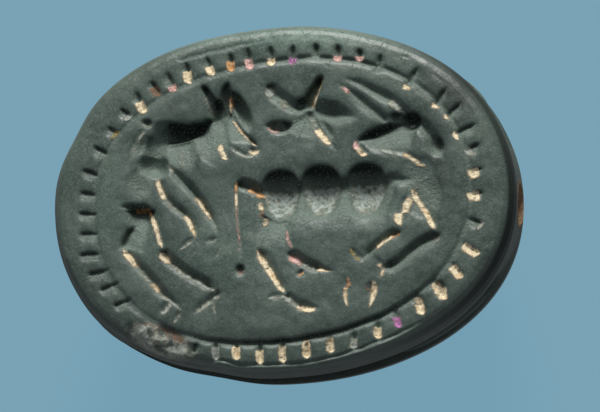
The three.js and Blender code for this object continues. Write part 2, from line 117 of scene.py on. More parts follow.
RASTER_STEP = 0.02  # spacing of the grid on which the face's relief is worked out
RASTER_MARGIN = 0.2  # how far the grid reaches past the oval
WOBBLE, WOBBLE_CELL = 0.02, 0.35  # how far a hand-held cut strays, and over what length
LIGHT_SIDE = (0.05, 0.999)  # from above, the way to the light: a cut's wall on that side is in shadow
LIT_BOW = 1.35  # how much the lit walls flatten out towards their upper edge
CROSSING = 0.2  # share of the shallower cut that is added where two cuts cross
# How the finished relief is put together: share of the cuts, and how many cells it is blurred by
SOFTENING = ((0.9, 1), (0.5, 8), (0.6, 22))
EARTH_THICKNESS, DUST_THICKNESS = 0.025, 0.004

# Long cuts: name, width of the shaded wall, width of the lit wall, depth, shares of the length over
# which the two ends run out, how wide the far end is for a near end of 1, how the shaded wall bends
# (below 1 it drops at its upper edge, above 1 at the bottom), points of the bottom line on
# the photograph in its pixels, and what is left on the lit wall as (colour, from, to, cover)
# Chalk on a lit wall is partly painted highlight along the lit crests
BEAST = (
    ("left ear", 0.1, 0.14, 0.26, (0.1, 0.12), 4.2, 0.6,
     ((203, 84), (207, 95), (211, 105), (214, 113)), (("chalk", 0.35, 1, 0.3),)),
    ("right ear", 0.1, 0.09, 0.16, (0.3, 0.15), 1, 1,
     ((229, 80), (229, 96), (231, 113)), (("rust", 0.4, 0.8, 0.5), ("cream", 0.6, 1, 0.5))),
    ("forehead", 0.28, 0.12, 0.22, (0.3, 0.1), 0.4, 0.9,
     ((230, 88), (232, 104), (233, 117), (240, 129), (249, 139), (260, 149)),
     (("rust", 0.08, 0.3, 0.4), ("cream", 0.42, 0.96, 0.9))),
    ("face", 0.1, 0.87, 0.2, (0.1, 0.3), 0.45, 1,
     ((230, 112), (233, 119), (240, 129), (251, 142)), ()),
    ("mouth", 0.14, 0.1, 0.1, (0.3, 0.15), 1, 1.2,
     ((230, 145), (237, 151), (246, 156), (256, 156)), (("chalk", 0.15, 1, 1),)),
    ("throat", 0.17, 0.21, 0.1, (0.15, 0.2), 1, 1.2,
     ((221, 143), (224, 150), (228, 160)), (("cream", 0, 1, 1),)),
    ("mane", 0.8, 0.14, 0.44, (0.3, 0.14), 0.4, 0.5,
     ((158, 141), (174, 139), (189, 136), (199, 130), (206, 121)), ()),
    ("cheek", 0.07, 1.67, 0.34, (0.25, 0.3), 1, 1,
     ((184, 131), (198, 125), (211, 118), (222, 114), (236, 112)), ()),
    ("chest", 0.07, 1.32, 0.26, (0.3, 0.3), 1, 1,
     ((162, 144), (176, 142), (190, 139), (198, 136)), (("chalk", 0.38, 0.5, 0.2),)),
    ("tail", 0.17, 0.1, 0.08, (0.1, 0.5), 1, 1.2,
     ((147, 126), (136, 141), (130, 157), (127, 174)),
     (("chalk", 0.05, 0.3, 0.6), ("chalk", 0.4, 0.55, 0.5))),
    ("side of the tail", 0.28, 0.28, 0.12, (0.3, 0.4), 1, 1,
     ((147, 133), (141, 146), (138, 158)), ()),
    ("near foreleg", 0.31, 0.21, 0.25, (0.2, 0.25), 0.4, 1.1,
     ((166, 160), (178, 175), (190, 187), (199, 198), (207, 209), (214, 221), (220, 236)),
     (("chalk", 0.02, 0.16, 0.5), ("cream", 0.5, 0.78, 0.9), ("chalk", 0.76, 1, 0.6))),
    ("near forepaw", 0.14, 0.12, 0.09, (0.3, 0.3), 1, 1.3,
     ((207, 241), (219, 238)), (("chalk", 0.1, 0.9, 0.5),)),
    ("near claw", 0.05, 0.05, 0.05, (0.3, 0.3), 1, 1,
     ((223, 247), (215, 260)), (("chalk", 0, 1, 0.4),)),
    ("far foreleg", 0.23, 0.17, 0.2, (0.1, 0.12), 0.9, 1.4,
     ((159, 175), (163, 190), (173, 203), (184, 211), (191, 220), (197, 236)),
     (("cream", 0.02, 0.3, 1), ("chalk", 0.3, 0.62, 0.25), ("cream", 0.66, 1, 0.95))),
    ("far forepaw", 0.16, 0.14, 0.1, (0.2, 0.4), 0.8, 1.3,
     ((195, 236), (179, 250)), (("chalk", 0.1, 0.9, 0.6),)),
    ("far claw", 0.05, 0.05, 0.05, (0.3, 0.3), 1, 1,
     ((198, 247), (191, 258)), (("chalk", 0, 1, 0.35),)),
    ("waist", 0.21, 0.14, 0.2, (0.4, 0.2), 1, 0.9,
     ((121, 203), (133, 206), (151, 205)), (("rust", 0.45, 1, 0.35),)),
    ("thigh", 0.07, 1.39, 0.36, (0.3, 0.25), 1, 1,
     ((126, 208), (140, 207), (156, 208)), ()),
    ("front of thigh", 0.14, 0.17, 0.12, (0.1, 0.15), 0.9, 1.2,
     ((148, 206), (154, 216), (159, 229), (164, 247)),
     (("rust", 0, 0.15, 0.7), ("cream", 0.12, 1, 0.9))),
    ("back of thigh", 0.1, 0.9, 0.24, (0.3, 0.2), 1, 1.2,
     ((138, 219), (128, 231), (121, 247)), ()),
    ("near hind leg", 0.28, 0.19, 0.22, (0.06, 0.3), 0.75, 1.3,
     ((124, 246), (137, 261), (150, 276), (161, 289), (173, 300), (184, 311)),
     (("cream", 0, 0.26, 1), ("chalk", 0.3, 0.5, 0.5), ("cream", 0.5, 0.64, 0.8), ("chalk", 0.66, 1, 0.8))),
    ("near hind toe", 0.17, 0.16, 0.12, (0.2, 0.3), 1, 1.3,
     ((171, 300), (160, 313)), (("chalk", 0.05, 0.9, 0.6),)),
    ("near hind heel", 0.12, 0.14, 0.09, (0.2, 0.4), 1, 1.3,
     ((181, 310), (172, 322)), (("chalk", 0.05, 0.9, 0.6),)),
    ("far hind leg", 0.28, 0.21, 0.24, (0.06, 0.15), 0.9, 1.2,
     ((161, 249), (173, 261), (187, 271), (201, 280), (217, 290)),
     (("cream", 0, 0.2, 1), ("chalk", 0.24, 1, 0.5))),
    ("far hind foot", 0.21, 0.21, 0.15, (0.15, 0.3), 0.8, 1.3,
     ((222, 290), (209, 300), (193, 313)), (("chalk", 0.1, 1, 0.5),)),
    ("far hind toe", 0.07, 0.1, 0.06, (0.2, 0.4), 1, 1,
     ((215, 298), (217, 316)), (("chalk", 0, 1, 0.5),)),
)
STAFF = (
    ("staff", 0.1, 0.1, 0.08, (0.08, 0.2), 0.7, 1,
     ((238, 181), (238, 205), (240, 232), (242, 263)),
     (("rust", 0, 0.14, 1), ("cream", 0.14, 0.34, 0.9), ("pink", 0.34, 0.9, 0.35))),
)
GOAT = (
    ("rump", 0.31, 0.17, 0.24, (0.15, 0.15), 1, 1,
     ((237, 184), (250, 188), (266, 197)), (("rust", 0.4, 1, 0.6),)),
    ("hind thigh", 0.07, 1.11, 0.17, (0.25, 0.25), 1, 1,
     ((261, 214), (276, 222), (294, 220)), ()),
    ("hip", 0.1, 0.21, 0.06, (0.2, 0.2), 1, 1,
     ((262, 200), (264, 214), (263, 229)),
     (("cream", 0.1, 0.4, 0.7), ("rust", 0.35, 0.6, 0.3), ("cream", 0.6, 0.95, 0.7))),
    ("flank", 0.1, 0.14, 0.06, (0.2, 0.3), 1, 1,
     ((258, 190), (258, 220), (259, 250)), ()),
    ("flank line", 0.07, 0.1, 0.035, (0.3, 0.3), 1, 1,
     ((249, 190), (251, 215), (254, 246)), ()),
    ("body", 0.28, 1.74, 0.22, (0.08, 0.1), 1, 1,
     ((260, 190), (300, 189), (343, 186), (398, 184)), ()),
    ("withers", 0.24, 0.31, 0.15, (0.3, 0.35), 1, 1.2,
     ((384, 180), (402, 182), (418, 184)), ()),
    ("far horn", 0.24, 0.24, 0.18, (0.45, 0.05), 1, 1.1,
     ((346, 80), (360, 86), (375, 94), (388, 101), (399, 109), (409, 119)),
     (("chalk", 0.66, 0.88, 0.6),)),
    ("near horn", 0.21, 0.28, 0.17, (0.4, 0.08), 1, 1.1,
     ((341, 86), (352, 95), (365, 106), (377, 115), (389, 125)), (("pink", 0.05, 0.22, 0.5),)),
    ("brow", 0.24, 0.17, 0.34, (0.3, 0.05), 1, 0.9,
     ((357, 144), (371, 139), (385, 133), (396, 129), (408, 126)), ()),
    ("goat face", 0.07, 1.01, 0.24, (0.4, 0.15), 1, 1,
     ((362, 143), (378, 138), (392, 132), (416, 128)), ()),
    ("nose", 0.14, 0.21, 0.1, (0.2, 0.2), 1, 1.2,
     ((357, 143), (360, 150), (368, 158)), (("pink", 0, 0.4, 0.8), ("cream", 0.35, 1, 0.9))),
    ("jaw", 0.14, 0.17, 0.11, (0.25, 0.12), 1, 1.2,
     ((370, 147), (383, 152), (397, 155), (410, 159), (426, 171)),
     (("chalk", 0.2, 0.6, 0.9), ("cream", 0.58, 1, 1))),
    ("behind the eye", 0.31, 0.28, 0.24, (0.3, 0.3), 1, 1,
     ((416, 120), (426, 134), (436, 148), (444, 161)), ()),
    ("front of chest", 0.31, 0.17, 0.18, (0.12, 0.12), 1, 1.2,
     ((413, 190), (418, 204), (427, 216), (436, 234)), (("cream", 0.03, 0.97, 0.85),)),
    ("shoulder", 0.14, 0.31, 0.1, (0.15, 0.15), 1, 1.2,
     ((410, 198), (403, 210), (402, 230)), (("cream", 0, 1, 0.9),)),
    ("near foreleg", 0.24, 0.17, 0.2, (0.12, 0.25), 0.8, 1.1,
     ((402, 235), (388, 240), (374, 251), (361, 264)),
     (("rust", 0, 0.25, 0.6), ("cream", 0.2, 0.6, 0.8))),
    ("far foreleg", 0.23, 0.35, 0.22, (0.12, 0.12), 0.9, 1,
     ((441, 239), (427, 243), (409, 255), (397, 265), (382, 271)), (("chalk", 0, 0.14, 0.5),)),
    ("near hoof", 0.17, 0.14, 0.12, (0.2, 0.2), 1, 1.3,
     ((351, 251), (362, 263)), (("olive", 0, 1, 0.5),)),
    ("knee", 0.1, 0.17, 0.09, (0.3, 0.3), 1, 1.2,
     ((377, 259), (382, 268), (380, 282)), (("cream", 0.3, 1, 0.6),)),
    ("near shin", 0.14, 0.16, 0.1, (0.2, 0.35), 0.8, 1.2,
     ((348, 279), (347, 293), (348, 310)), (("rust", 0, 0.4, 0.8), ("cream", 0.35, 1, 0.8))),
    ("far shin", 0.21, 0.28, 0.13, (0.15, 0.4), 0.6, 1.2,
     ((372, 283), (371, 296), (369, 311)), (("cream", 0, 1, 1),)),
    ("notch", 0.1, 0.07, 0.12, (0.3, 0.3), 1, 1,
     ((366, 289), (372, 294)), (("earth", 0, 1, 1),)),
    ("near hind leg", 0.28, 0.21, 0.2, (0.12, 0.2), 0.8, 1.2,
     ((259, 249), (267, 264), (276, 278), (288, 295)), (("cream", 0.02, 0.92, 1),)),
    ("hock", 0.14, 0.14, 0.09, (0.3, 0.2), 1, 1.2,
     ((268, 299), (278, 296), (286, 296)), (("chalk", 0.05, 0.95, 0.7),)),
    ("near hind shin", 0.21, 0.21, 0.15, (0.1, 0.2), 1, 1.2,
     ((286, 295), (296, 303), (305, 308)), (("chalk", 0, 0.8, 0.5),)),
    ("near hind hoof", 0.24, 0.19, 0.17, (0.2, 0.4), 1, 1.2,
     ((296, 305), (307, 308), (321, 310)), (("cream", 0.08, 0.8, 1),)),
    ("far hind leg", 0.14, 0.14, 0.08, (0.3, 0.3), 1, 1.2,
     ((287, 228), (290, 240), (294, 251)), (("pink", 0.02, 1, 0.6),)),
    ("far hind shin", 0.31, 0.24, 0.22, (0.1, 0.4), 0.6, 1.1,
     ((288, 254), (300, 261), (312, 267), (325, 271), (337, 273)),
     (("pink", 0.04, 0.32, 0.9), ("chalk", 0.34, 0.62, 0.4), ("cream", 0.62, 0.88, 0.8))),
)
STAR = (
    ("upper left ray", 0.31, 0.31, 0.22, (0.12, 0.05), 1, 1,
     ((267, 86), (278, 96), (290, 105), (304, 111)),
     (("chalk", 0.05, 0.25, 0.7), ("chalk", 0.4, 0.7, 0.3))),
    ("upper ray", 0.1, 0.12, 0.36, (0.12, 0.08), 4.6, 0.55,
     ((323, 77), (319, 88), (315, 99), (311, 110)),
     (("olive", 0.1, 0.5, 0.6), ("cream", 0.35, 0.95, 0.8))),
    ("right ray", 0.45, 0.56, 0.27, (0.08, 0.5), 0.9, 0.9,
     ((312, 110), (325, 113), (342, 116), (358, 121)), ()),
    ("lower right ray", 0.31, 0.24, 0.19, (0.1, 0.35), 0.8, 1.1,
     ((311, 112), (316, 125), (325, 138), (337, 152)),
     (("chalk", 0.1, 0.4, 0.5), ("cream", 0.4, 0.82, 1))),
    ("lower left ray", 0.35, 0.17, 0.24, (0.3, 0.2), 1, 0.8,
     ((266, 126), (275, 130), (285, 130), (293, 124)), (("pink", 0.1, 0.5, 0.5),)),
    ("below the star", 0.28, 0.97, 0.14, (0.5, 0.1), 1, 1,
     ((289, 131), (299, 122), (311, 113)), ()),
)

# Drilled and ground hollows: name, middle in the photograph's pixels, half-length with the upper and
# lower half-widths, turn, depth, bend of the wall (below 1 it is steep), and (colour, cover) in it
HOLLOWS = (
    ("start of the mane", (166, 139), (0.59, 0.73, 0.21), 10, 0.24, 0.9, None),
    ("right ear", (227.5, 100), (0.66, 0.28, 0.05), 86, 0.32, 0.7, None),
    ("between the ears", (219.5, 114), (0.38, 0.59, 0.1), 20, 0.38, 0.55, None),
    ("beside the forehead", (238, 112), (0.87, 0.42, 0.07), -62, 0.34, 0.9, None),
    ("beast shoulder", (153, 165), (0.59, 0.59, 0.35), -20, 0.38, 1, None),
    ("neck of the beast", (156, 146), (0.45, 0.7, 0.52), -25, 0.27, 0.9, None),
    ("back", (141, 184), (0.56, 0.7, 0.7), 20, 0.1, 1.2, None),
    ("muzzle", (255, 151), (0.23, 0.17, 0.17), 0, 0.12, 0.8, ("cream", 1)),
    ("tail tip", (147, 121), (0.21, 0.17, 0.17), 0, 0.15, 0.9, ("chalk", 0.5)),
    ("foot of the staff", (241, 270), (0.17, 0.21, 0.21), 0, 0.18, 0.8, ("pink", 0.5)),
    ("haunch", (281, 192), (0.7, 0.77, 1.15), 0, 0.34, 0.6, ("dust", 0.8)),
    ("barrel", (321, 188), (0.73, 0.77, 1.18), 0, 0.38, 0.6, ("dust", 0.8)),
    ("goat shoulder", (366, 187), (0.73, 0.77, 1.22), 0, 0.36, 0.6, ("dust", 0.8)),
    ("rim of the drill", (366, 203), (0.59, 0.59, 0.59), 0, 0.1, 0.6, None),
    ("eye", (411, 125), (0.35, 0.35, 0.35), 0, 0.36, 0.5, None),
    # Painted highlight: the glint in the goat's eye, laid as a spot of chalk
    ("glint in the eye", (411, 127), (0.14, 0.14, 0.14), 0, 0.02, 0.8, ("chalk", 1)),
    ("behind the ear", (402, 121), (0.49, 0.24, 0.24), 0, 0.2, 0.8, None),
    ("nape of the goat", (436, 149), (0.28, 0.42, 0.42), 30, 0.26, 0.7, None),
    ("neck", (418, 176), (0.7, 0.59, 0.59), 0, 0.1, 1.2, None),
    ("goat chest", (425, 199), (0.66, 0.84, 0.84), 0, 0.12, 0.8, None),
    ("large pit", (440, 293), (0.24, 0.38, 0.35), 28, 0.16, 0.6, ("cream", 1)),
    ("second pit", (419, 304), (0.17, 0.28, 0.28), 15, 0.14, 0.6, ("cream", 1)),
    ("spur", (301, 274), (0.16, 0.12, 0.12), 30, 0.12, 0.8, ("rust", 0.9)),
    ("beside the lower ray", (326, 131), (0.45, 0.21, 0.05), -57, 0.18, 0.7, None),
    ("heart of the star", (305, 108), (0.35, 0.35, 0.1), 0, 0.24, 0.7, None),
)

# Short cuts round the scene: their ends in the photograph's pixels, what fills them and from which
# share of their length on
HATCHES = (
    ((484, 197), (467, 199), "cream", 0.3),
    ((482, 173), (468, 176), "cream", 0.3),
    ((479, 148), (465, 156), "chalk", 0.6),
    ((475, 128), (453, 140), "cream", 0.8),
    ((461, 108), (445, 122), "cream", 0.85),
    ((446, 93), (433, 111), "cream", 0.8),
    ((418, 71), (404, 92), "cream", 0.8),
    ((381, 58), (377, 76), "", 0.6),
    ((360, 51), (359, 63), "pink", 0.6),
    ((338, 47), (338, 63), "pink", 0.6),
    ((316, 45), (316, 59), "", 0),
    ((294, 47), (292, 65), "violet", 0.6),
    ((271, 47), (272, 66), "cream", 0.55),
    ((248, 48), (251, 69), "pink", 0.45),
    ((230, 53), (232, 70), "rust", 0.4),
    ((207, 56), (214, 73), "cream", 0.5),
    ((186, 61), (190, 81), "cream", 0.4),
    ((167, 70), (176, 88), "pink", 0.65),
    ((151, 78), (160, 93), "earth", 0.35),
    ((136, 89), (146, 109), "cream", 0.45),
    ((121, 105), (132, 113), "chalk", 0.6),
    ((108, 123), (119, 130), "olive", 0.6),
    ((94, 142), (107, 150), "", 0),
    ((83, 165), (99, 171), "", 0),
    ((80, 187), (96, 191), "", 0),
    ((78, 208), (97, 210), "", 0),
    ((79, 229), (98, 230), "", 0),
    ((80, 250), (101, 249), "", 0),
    ((88, 270), (109, 265), "", 0),
    ((100, 286), (118, 279), "", 0),
    ((114, 302), (131, 295), "", 0),
    ((194, 350), (197, 341), "", 0),
    ((216, 358), (216, 340), "chalk", 0.3),
    ((237, 358), (237, 342), "cream", 0.2),
    ((260, 363), (260, 343), "cream", 0.35),
    ((283, 362), (283, 341), "cream", 0.25),
    ((307, 358), (307, 339), "cream", 0.1),
    ((331, 353), (330, 336), "cream", 0.15),
    ((353, 350), (354, 332), "chalk", 0.4),
    ((378, 340), (378, 322), "cream", 0.4),
    ((400, 330), (394, 308), "violet", 0.5),
    ((423, 317), (417, 296), "cream", 0.2),
    ((446, 302), (434, 282), "cream", 0.15),
    ((463, 281), (450, 265), "cream", 0.25),
    ((479, 258), (461, 245), "cream", 0.2),
    ((483, 228), (466, 222), "chalk", 0.75),
)
HATCH_STRETCH = 1.1  # how much longer they are cut than shows, since their ends run out
HATCH_SHADE = 0.18
HATCH_LIT = 0.18
HATCH_LIP = 0.21  # added to the lit wall of the cuts that lie across the light
HATCH_DEPTH = 0.22
HATCH_SHALLOWER = 0.42  # share of the depth that the cuts lose that lie across the light
HATCH_ENDS = (0.3, 0.14)
HATCH_BOW = 1.2
HATCH_SPILL = 0.9  # how far up the shaded wall their filling reaches

# Shallow lines and scratches near the edge, as the long cuts but with their paths in millimetres
LOWER_EDGE = ((-3.02, -5.56), (-1.96, -5.58), (-1.23, -5.74), (0.67, -5.7), (1.72, -5.54), (2.25, -5.4),
              (4.0, -4.77), (5.05, -4.25))
LIP_HEIGHT = 0.16  # of the rubbed lip outside the lower edge line
LIP_WIDTH = 0.42
EDGE_LINES = (
    ("lower edge", 0.06, 0.08, 0.08, (0.1, 0.1), 1, 1, LOWER_EDGE, ()),
    ("upper edge", 0.09, 0.12, 0.05, (0.1, 0.4), 1, 1,
     ((-3.61, 4.88), (-2.84, 5.09), (-2.14, 5.23), (-1.44, 5.37), (-0.39, 5.51)), ()),
    ("upper right edge", 0.07, 0.07, 0.05, (0.3, 0.3), 1, 1, ((4.18, 4.91), (4.53, 4.77)), ()),
    ("scratch", 0.04, 0.04, 0.04, (0.3, 0.3), 1, 1, ((5.23, 4.25), (5.75, 3.82)), ()),
    ("second scratch", 0.04, 0.04, 0.04, (0.3, 0.3), 1, 1, ((4.63, 3.72), (5.16, 3.23)), ()),
    ("third scratch", 0.03, 0.03, 0.03, (0.3, 0.3), 1, 1, ((1.54, 4.67), (1.68, 4.49)), ()),
)

# Depth of the framing line round the scene: degrees, millimetres
FRAME_LINE_DEPTHS = ((0, 0.06), (30, 0.09), (60, 0.12), (90, 0.1), (120, 0.08), (150, 0.06), (200, 0.05),
                     (225, 0.06), (240, 0.12), (270, 0.16), (310, 0.16), (335, 0.1), (360, 0.05))

# Parts of the face where the colour is lighter or darker, partly the stone's own tone, partly painted
# highlight and painted shade where the face turns towards or away from the light: middle, reach, how much
LIGHT_AND_TONE_PATCHES = (
    ((-6.05, 0.1), (0.5, 1.7), 0.3),
    ((-1.5, -1.85), (1.6, 0.9), 0.35),
    ((-3.7, 3.3), (1.2, 0.5), -0.3),
    ((6.2, 3.8), (1.2, 1.3), -0.6),
    ((5.6, -3.7), (1.2, 0.8), -0.15),
    ((-6.8, -3.3), (1.0, 1.6), -0.3),
    ((-4.9, -4.4), (1.2, 0.9), -0.2),
    ((0.2, 5.6), (3.5, 0.4), 1.0),
    ((-4.85, -1.1), (0.5, 0.7), 0.6),
    ((0.1, -0.75), (0.8, 0.5), 0.35),
    ((1.5, -0.45), (2.2, 0.4), 0.5),
    ((-2.05, 2.35), (0.5, 0.4), 0.3),
    ((5.5, 1.0), (0.6, 1.2), -0.35),
    ((-0.8, -4.6), (3.0, 0.5), -0.2),
    ((0.6, 2.55), (0.7, 0.35), 0.2),
)

# The rough worn place at the lower left of the edge, and the lumps all over the face: their size,
# their height in the worn place and elsewhere
WORN_MIDDLE = (-4.2, -4.85)
WORN_REACH = (1.5, 0.62)
WORN_TURN = -22
WORN_SUNK = 0.06
LUMP_CELLS = (1.9, 0.5, 0.24)
WORN_LUMPS = (0, 0.06, 0.06)
FACE_LUMPS = (0.045, 0.018, 0.008)

# What is stored at each vertex for the material, painted shade and painted sheen among them, and the colours
# of what is left in the cuts, some of them partly painted highlight
MARKS = ("tone", "fill", "rubbed", "shelter", "ground")
EARTHS = ("cream", "chalk", "rust", "pink", "violet", "earth", "dust", "olive")
BUMP_DISTANCE = 0.023


class StoneSettings(bpy.types.PropertyGroup):
    """Sizes of the stone and how finely its surface is made."""

    length: FloatProperty(
        name="Length", description="Length along the string hole", default=16 * MM,
        subtype="DISTANCE", unit="LENGTH", precision=5)
    width: FloatProperty(
        name="Width", description="Width across the string hole", default=12 * MM,
        subtype="DISTANCE", unit="LENGTH", precision=5)
    carved_edge: FloatProperty(
        name="Carved edge", description="Edge length of the mesh in the cuts", default=0.057 * MM,
        subtype="DISTANCE", unit="LENGTH", precision=6)
    plain_edge: FloatProperty(
        name="Plain edge", description="Edge length of the mesh on plain stone", default=0.17 * MM,
        subtype="DISTANCE", unit="LENGTH", precision=6)
    cut_scale: FloatProperty(
        name="Depth of cuts", description="Multiplies the depth of every cut", default=1.0, min=0.1, max=2)


class ColourSettings(bpy.types.PropertyGroup):
    """Colours of the stone and of what is left in its cuts."""

    stone_dark: FloatVectorProperty(
        name="Dark stone", description="Darker tone of the stone", default=(0.035, 0.056, 0.045),
        subtype="COLOR", size=3, min=0, max=1)
    stone_light: FloatVectorProperty(
        name="Light stone", description="Lighter tone of the stone", default=(0.082, 0.119, 0.095),
        subtype="COLOR", size=3, min=0, max=1)
    # Rubbed tone: worn stone, also used for the painted sheen on cut rims and along the rounded edge of the
    # face
    rubbed: FloatVectorProperty(
        name="Rubbed stone", description="Tone of worn edges", default=(0.16, 0.2, 0.175),
        subtype="COLOR", size=3, min=0, max=1)
    ground_stone: FloatVectorProperty(
        name="Ground stone", description="Paler tone that the wheel leaves in the cuts",
        default=(0.135, 0.185, 0.15), subtype="COLOR", size=3, min=0, max=1)
    cream: FloatVectorProperty(
        name="Cream", description="Pale earth in the cuts", default=(0.8, 0.67, 0.45),
        subtype="COLOR", size=3, min=0, max=1)
    # Chalk: a thin pale film, and also the colour of painted highlight on lit crests and walls
    chalk: FloatVectorProperty(
        name="Chalk", description="Thin pale grey film in the cuts", default=(0.34, 0.37, 0.32),
        subtype="COLOR", size=3, min=0, max=1)
    rust: FloatVectorProperty(
        name="Rust", description="Orange earth in the cuts", default=(0.62, 0.34, 0.15),
        subtype="COLOR", size=3, min=0, max=1)
    pink: FloatVectorProperty(
        name="Pink", description="Pinkish earth in the cuts", default=(0.68, 0.42, 0.38),
        subtype="COLOR", size=3, min=0, max=1)
    violet: FloatVectorProperty(
        name="Violet", description="Violet stain in the cuts", default=(0.42, 0.17, 0.36),
        subtype="COLOR", size=3, min=0, max=1)
    earth: FloatVectorProperty(
        name="Earth", description="Brown earth in worn places", default=(0.2, 0.11, 0.06),
        subtype="COLOR", size=3, min=0, max=1)
    # Dust lies on the lower, lit half of the drilled hollows: stone dust, partly painted highlight
    dust: FloatVectorProperty(
        name="Dust", description="Grey-green stone dust in the drilled hollows", default=(0.36, 0.41, 0.365),
        subtype="COLOR", size=3, min=0, max=1)
    olive: FloatVectorProperty(
        name="Olive", description="Yellow-green earth in a few cuts", default=(0.3, 0.25, 0.08),
        subtype="COLOR", size=3, min=0, max=1)


class StageSettings(bpy.types.PropertyGroup):
    """The floor, the lights and the camera."""

    floor: FloatVectorProperty(
        name="Floor", description="Colour of the floor", default=(0.19, 0.375, 0.485),
        subtype="COLOR", size=3, min=0, max=1)
    key_power: FloatProperty(
        name="Key light", description="Power of the light from the top of the picture", default=1.6,
        subtype="POWER", unit="POWER", min=0)
    camera_distance: FloatProperty(
        name="Camera distance", description="From the stone to the camera", default=0.45,
        subtype="DISTANCE", unit="LENGTH", min=0.05)


def signed_power(value, exponent):
    """A power that keeps the sign."""
    return np.sign(value) * np.abs(value) ** exponent


def turned(x, y, degrees):
    """A point turned about the origin."""
    angle = math.radians(degrees)
    return x * math.cos(angle) - y * math.sin(angle), x * math.sin(angle) + y * math.cos(angle)


def on_face(spots):
    """Places given on the photograph, as millimetres on the face, to the hundredth."""
    return np.round((np.array(spots) - MIDDLE_PX) * (1, -1) / FACE_PX_PER_MM, 2)


def oval(angle, length, width, roundness, turn):
    """Points of a turned oval, in millimetres."""
    x = length / 2 * signed_power(np.cos(angle), 2 / roundness)
    y = width / 2 * signed_power(np.sin(angle), 2 / roundness)
    return turned(x, y, turn)


def oval_radius(angle, length, width, roundness):
    """Distance from an oval's middle to its edge, at an angle from its long axis."""
    along = np.abs(2 * np.cos(angle) / length) ** roundness
    across = np.abs(2 * np.sin(angle) / width) ** roundness
    return (along + across) ** (-1 / roundness)


def smoothstep(value, low, high):
    """From 0 to 1 between two values, with soft ends."""
    share = np.clip((value - low) / (high - low), 0, 1)
    return share * share * (3 - 2 * share)


def lattice_noise(points, cell, seed):
    """Smooth noise from -1 to 1 at points given as an array with any number of columns."""
    spot = np.asarray(points) / cell
    base = np.floor(spot).astype(np.int64)
    part = spot - base
    part = part * part * (3 - 2 * part)
    columns = spot.shape[1]
    total = np.zeros(len(spot))
    for corner in range(2 ** columns):
        weight = np.ones(len(spot))
        code = np.full(len(spot), seed * 7919 + 17, dtype=np.int64)
        for axis in range(columns):
            step = (corner >> axis) & 1
            weight *= part[:, axis] if step else 1 - part[:, axis]
            code = (code * 1103515245 + (base[:, axis] + step) * 73856093 + 12345) & 0x7FFFFFFF
            code = (code ^ (code >> 13)) * 1274126177 & 0x7FFFFFFF
        total += weight * ((code >> 7) % 65536 / 32767.5 - 1)
    return total


def blurred(field, reach):
    """A grid blurred by a bell curve that many cells wide."""
    span = int(reach * 2.5) + 1
    offsets = np.arange(-span, span + 1)
    weights = np.exp(-(offsets / reach) ** 2)
    weights /= weights.sum()
    for axis in (0, 1):
        field = sum(w * np.roll(field, int(o), axis) for w, o in zip(weights, offsets))
    return field


def smooth_path(path, steps=8):
    """A curve through the given points, as an array of points."""
    points = np.array(path, float)
    if len(points) == 2:
        return points
    ends = np.vstack([2 * points[0] - points[1], points, 2 * points[-1] - points[-2]])
    made = []
    for a, b, c, d in zip(ends, ends[1:], ends[2:], ends[3:]):
        for t in np.linspace(0, 1, steps, endpoint=False):
            made.append(0.5 * (2 * b + (c - a) * t + (2 * a - 5 * b + 4 * c - d) * t ** 2
                               + (3 * b - a - 3 * c + d) * t ** 3))
    made.append(points[-1])
    return np.array(made)


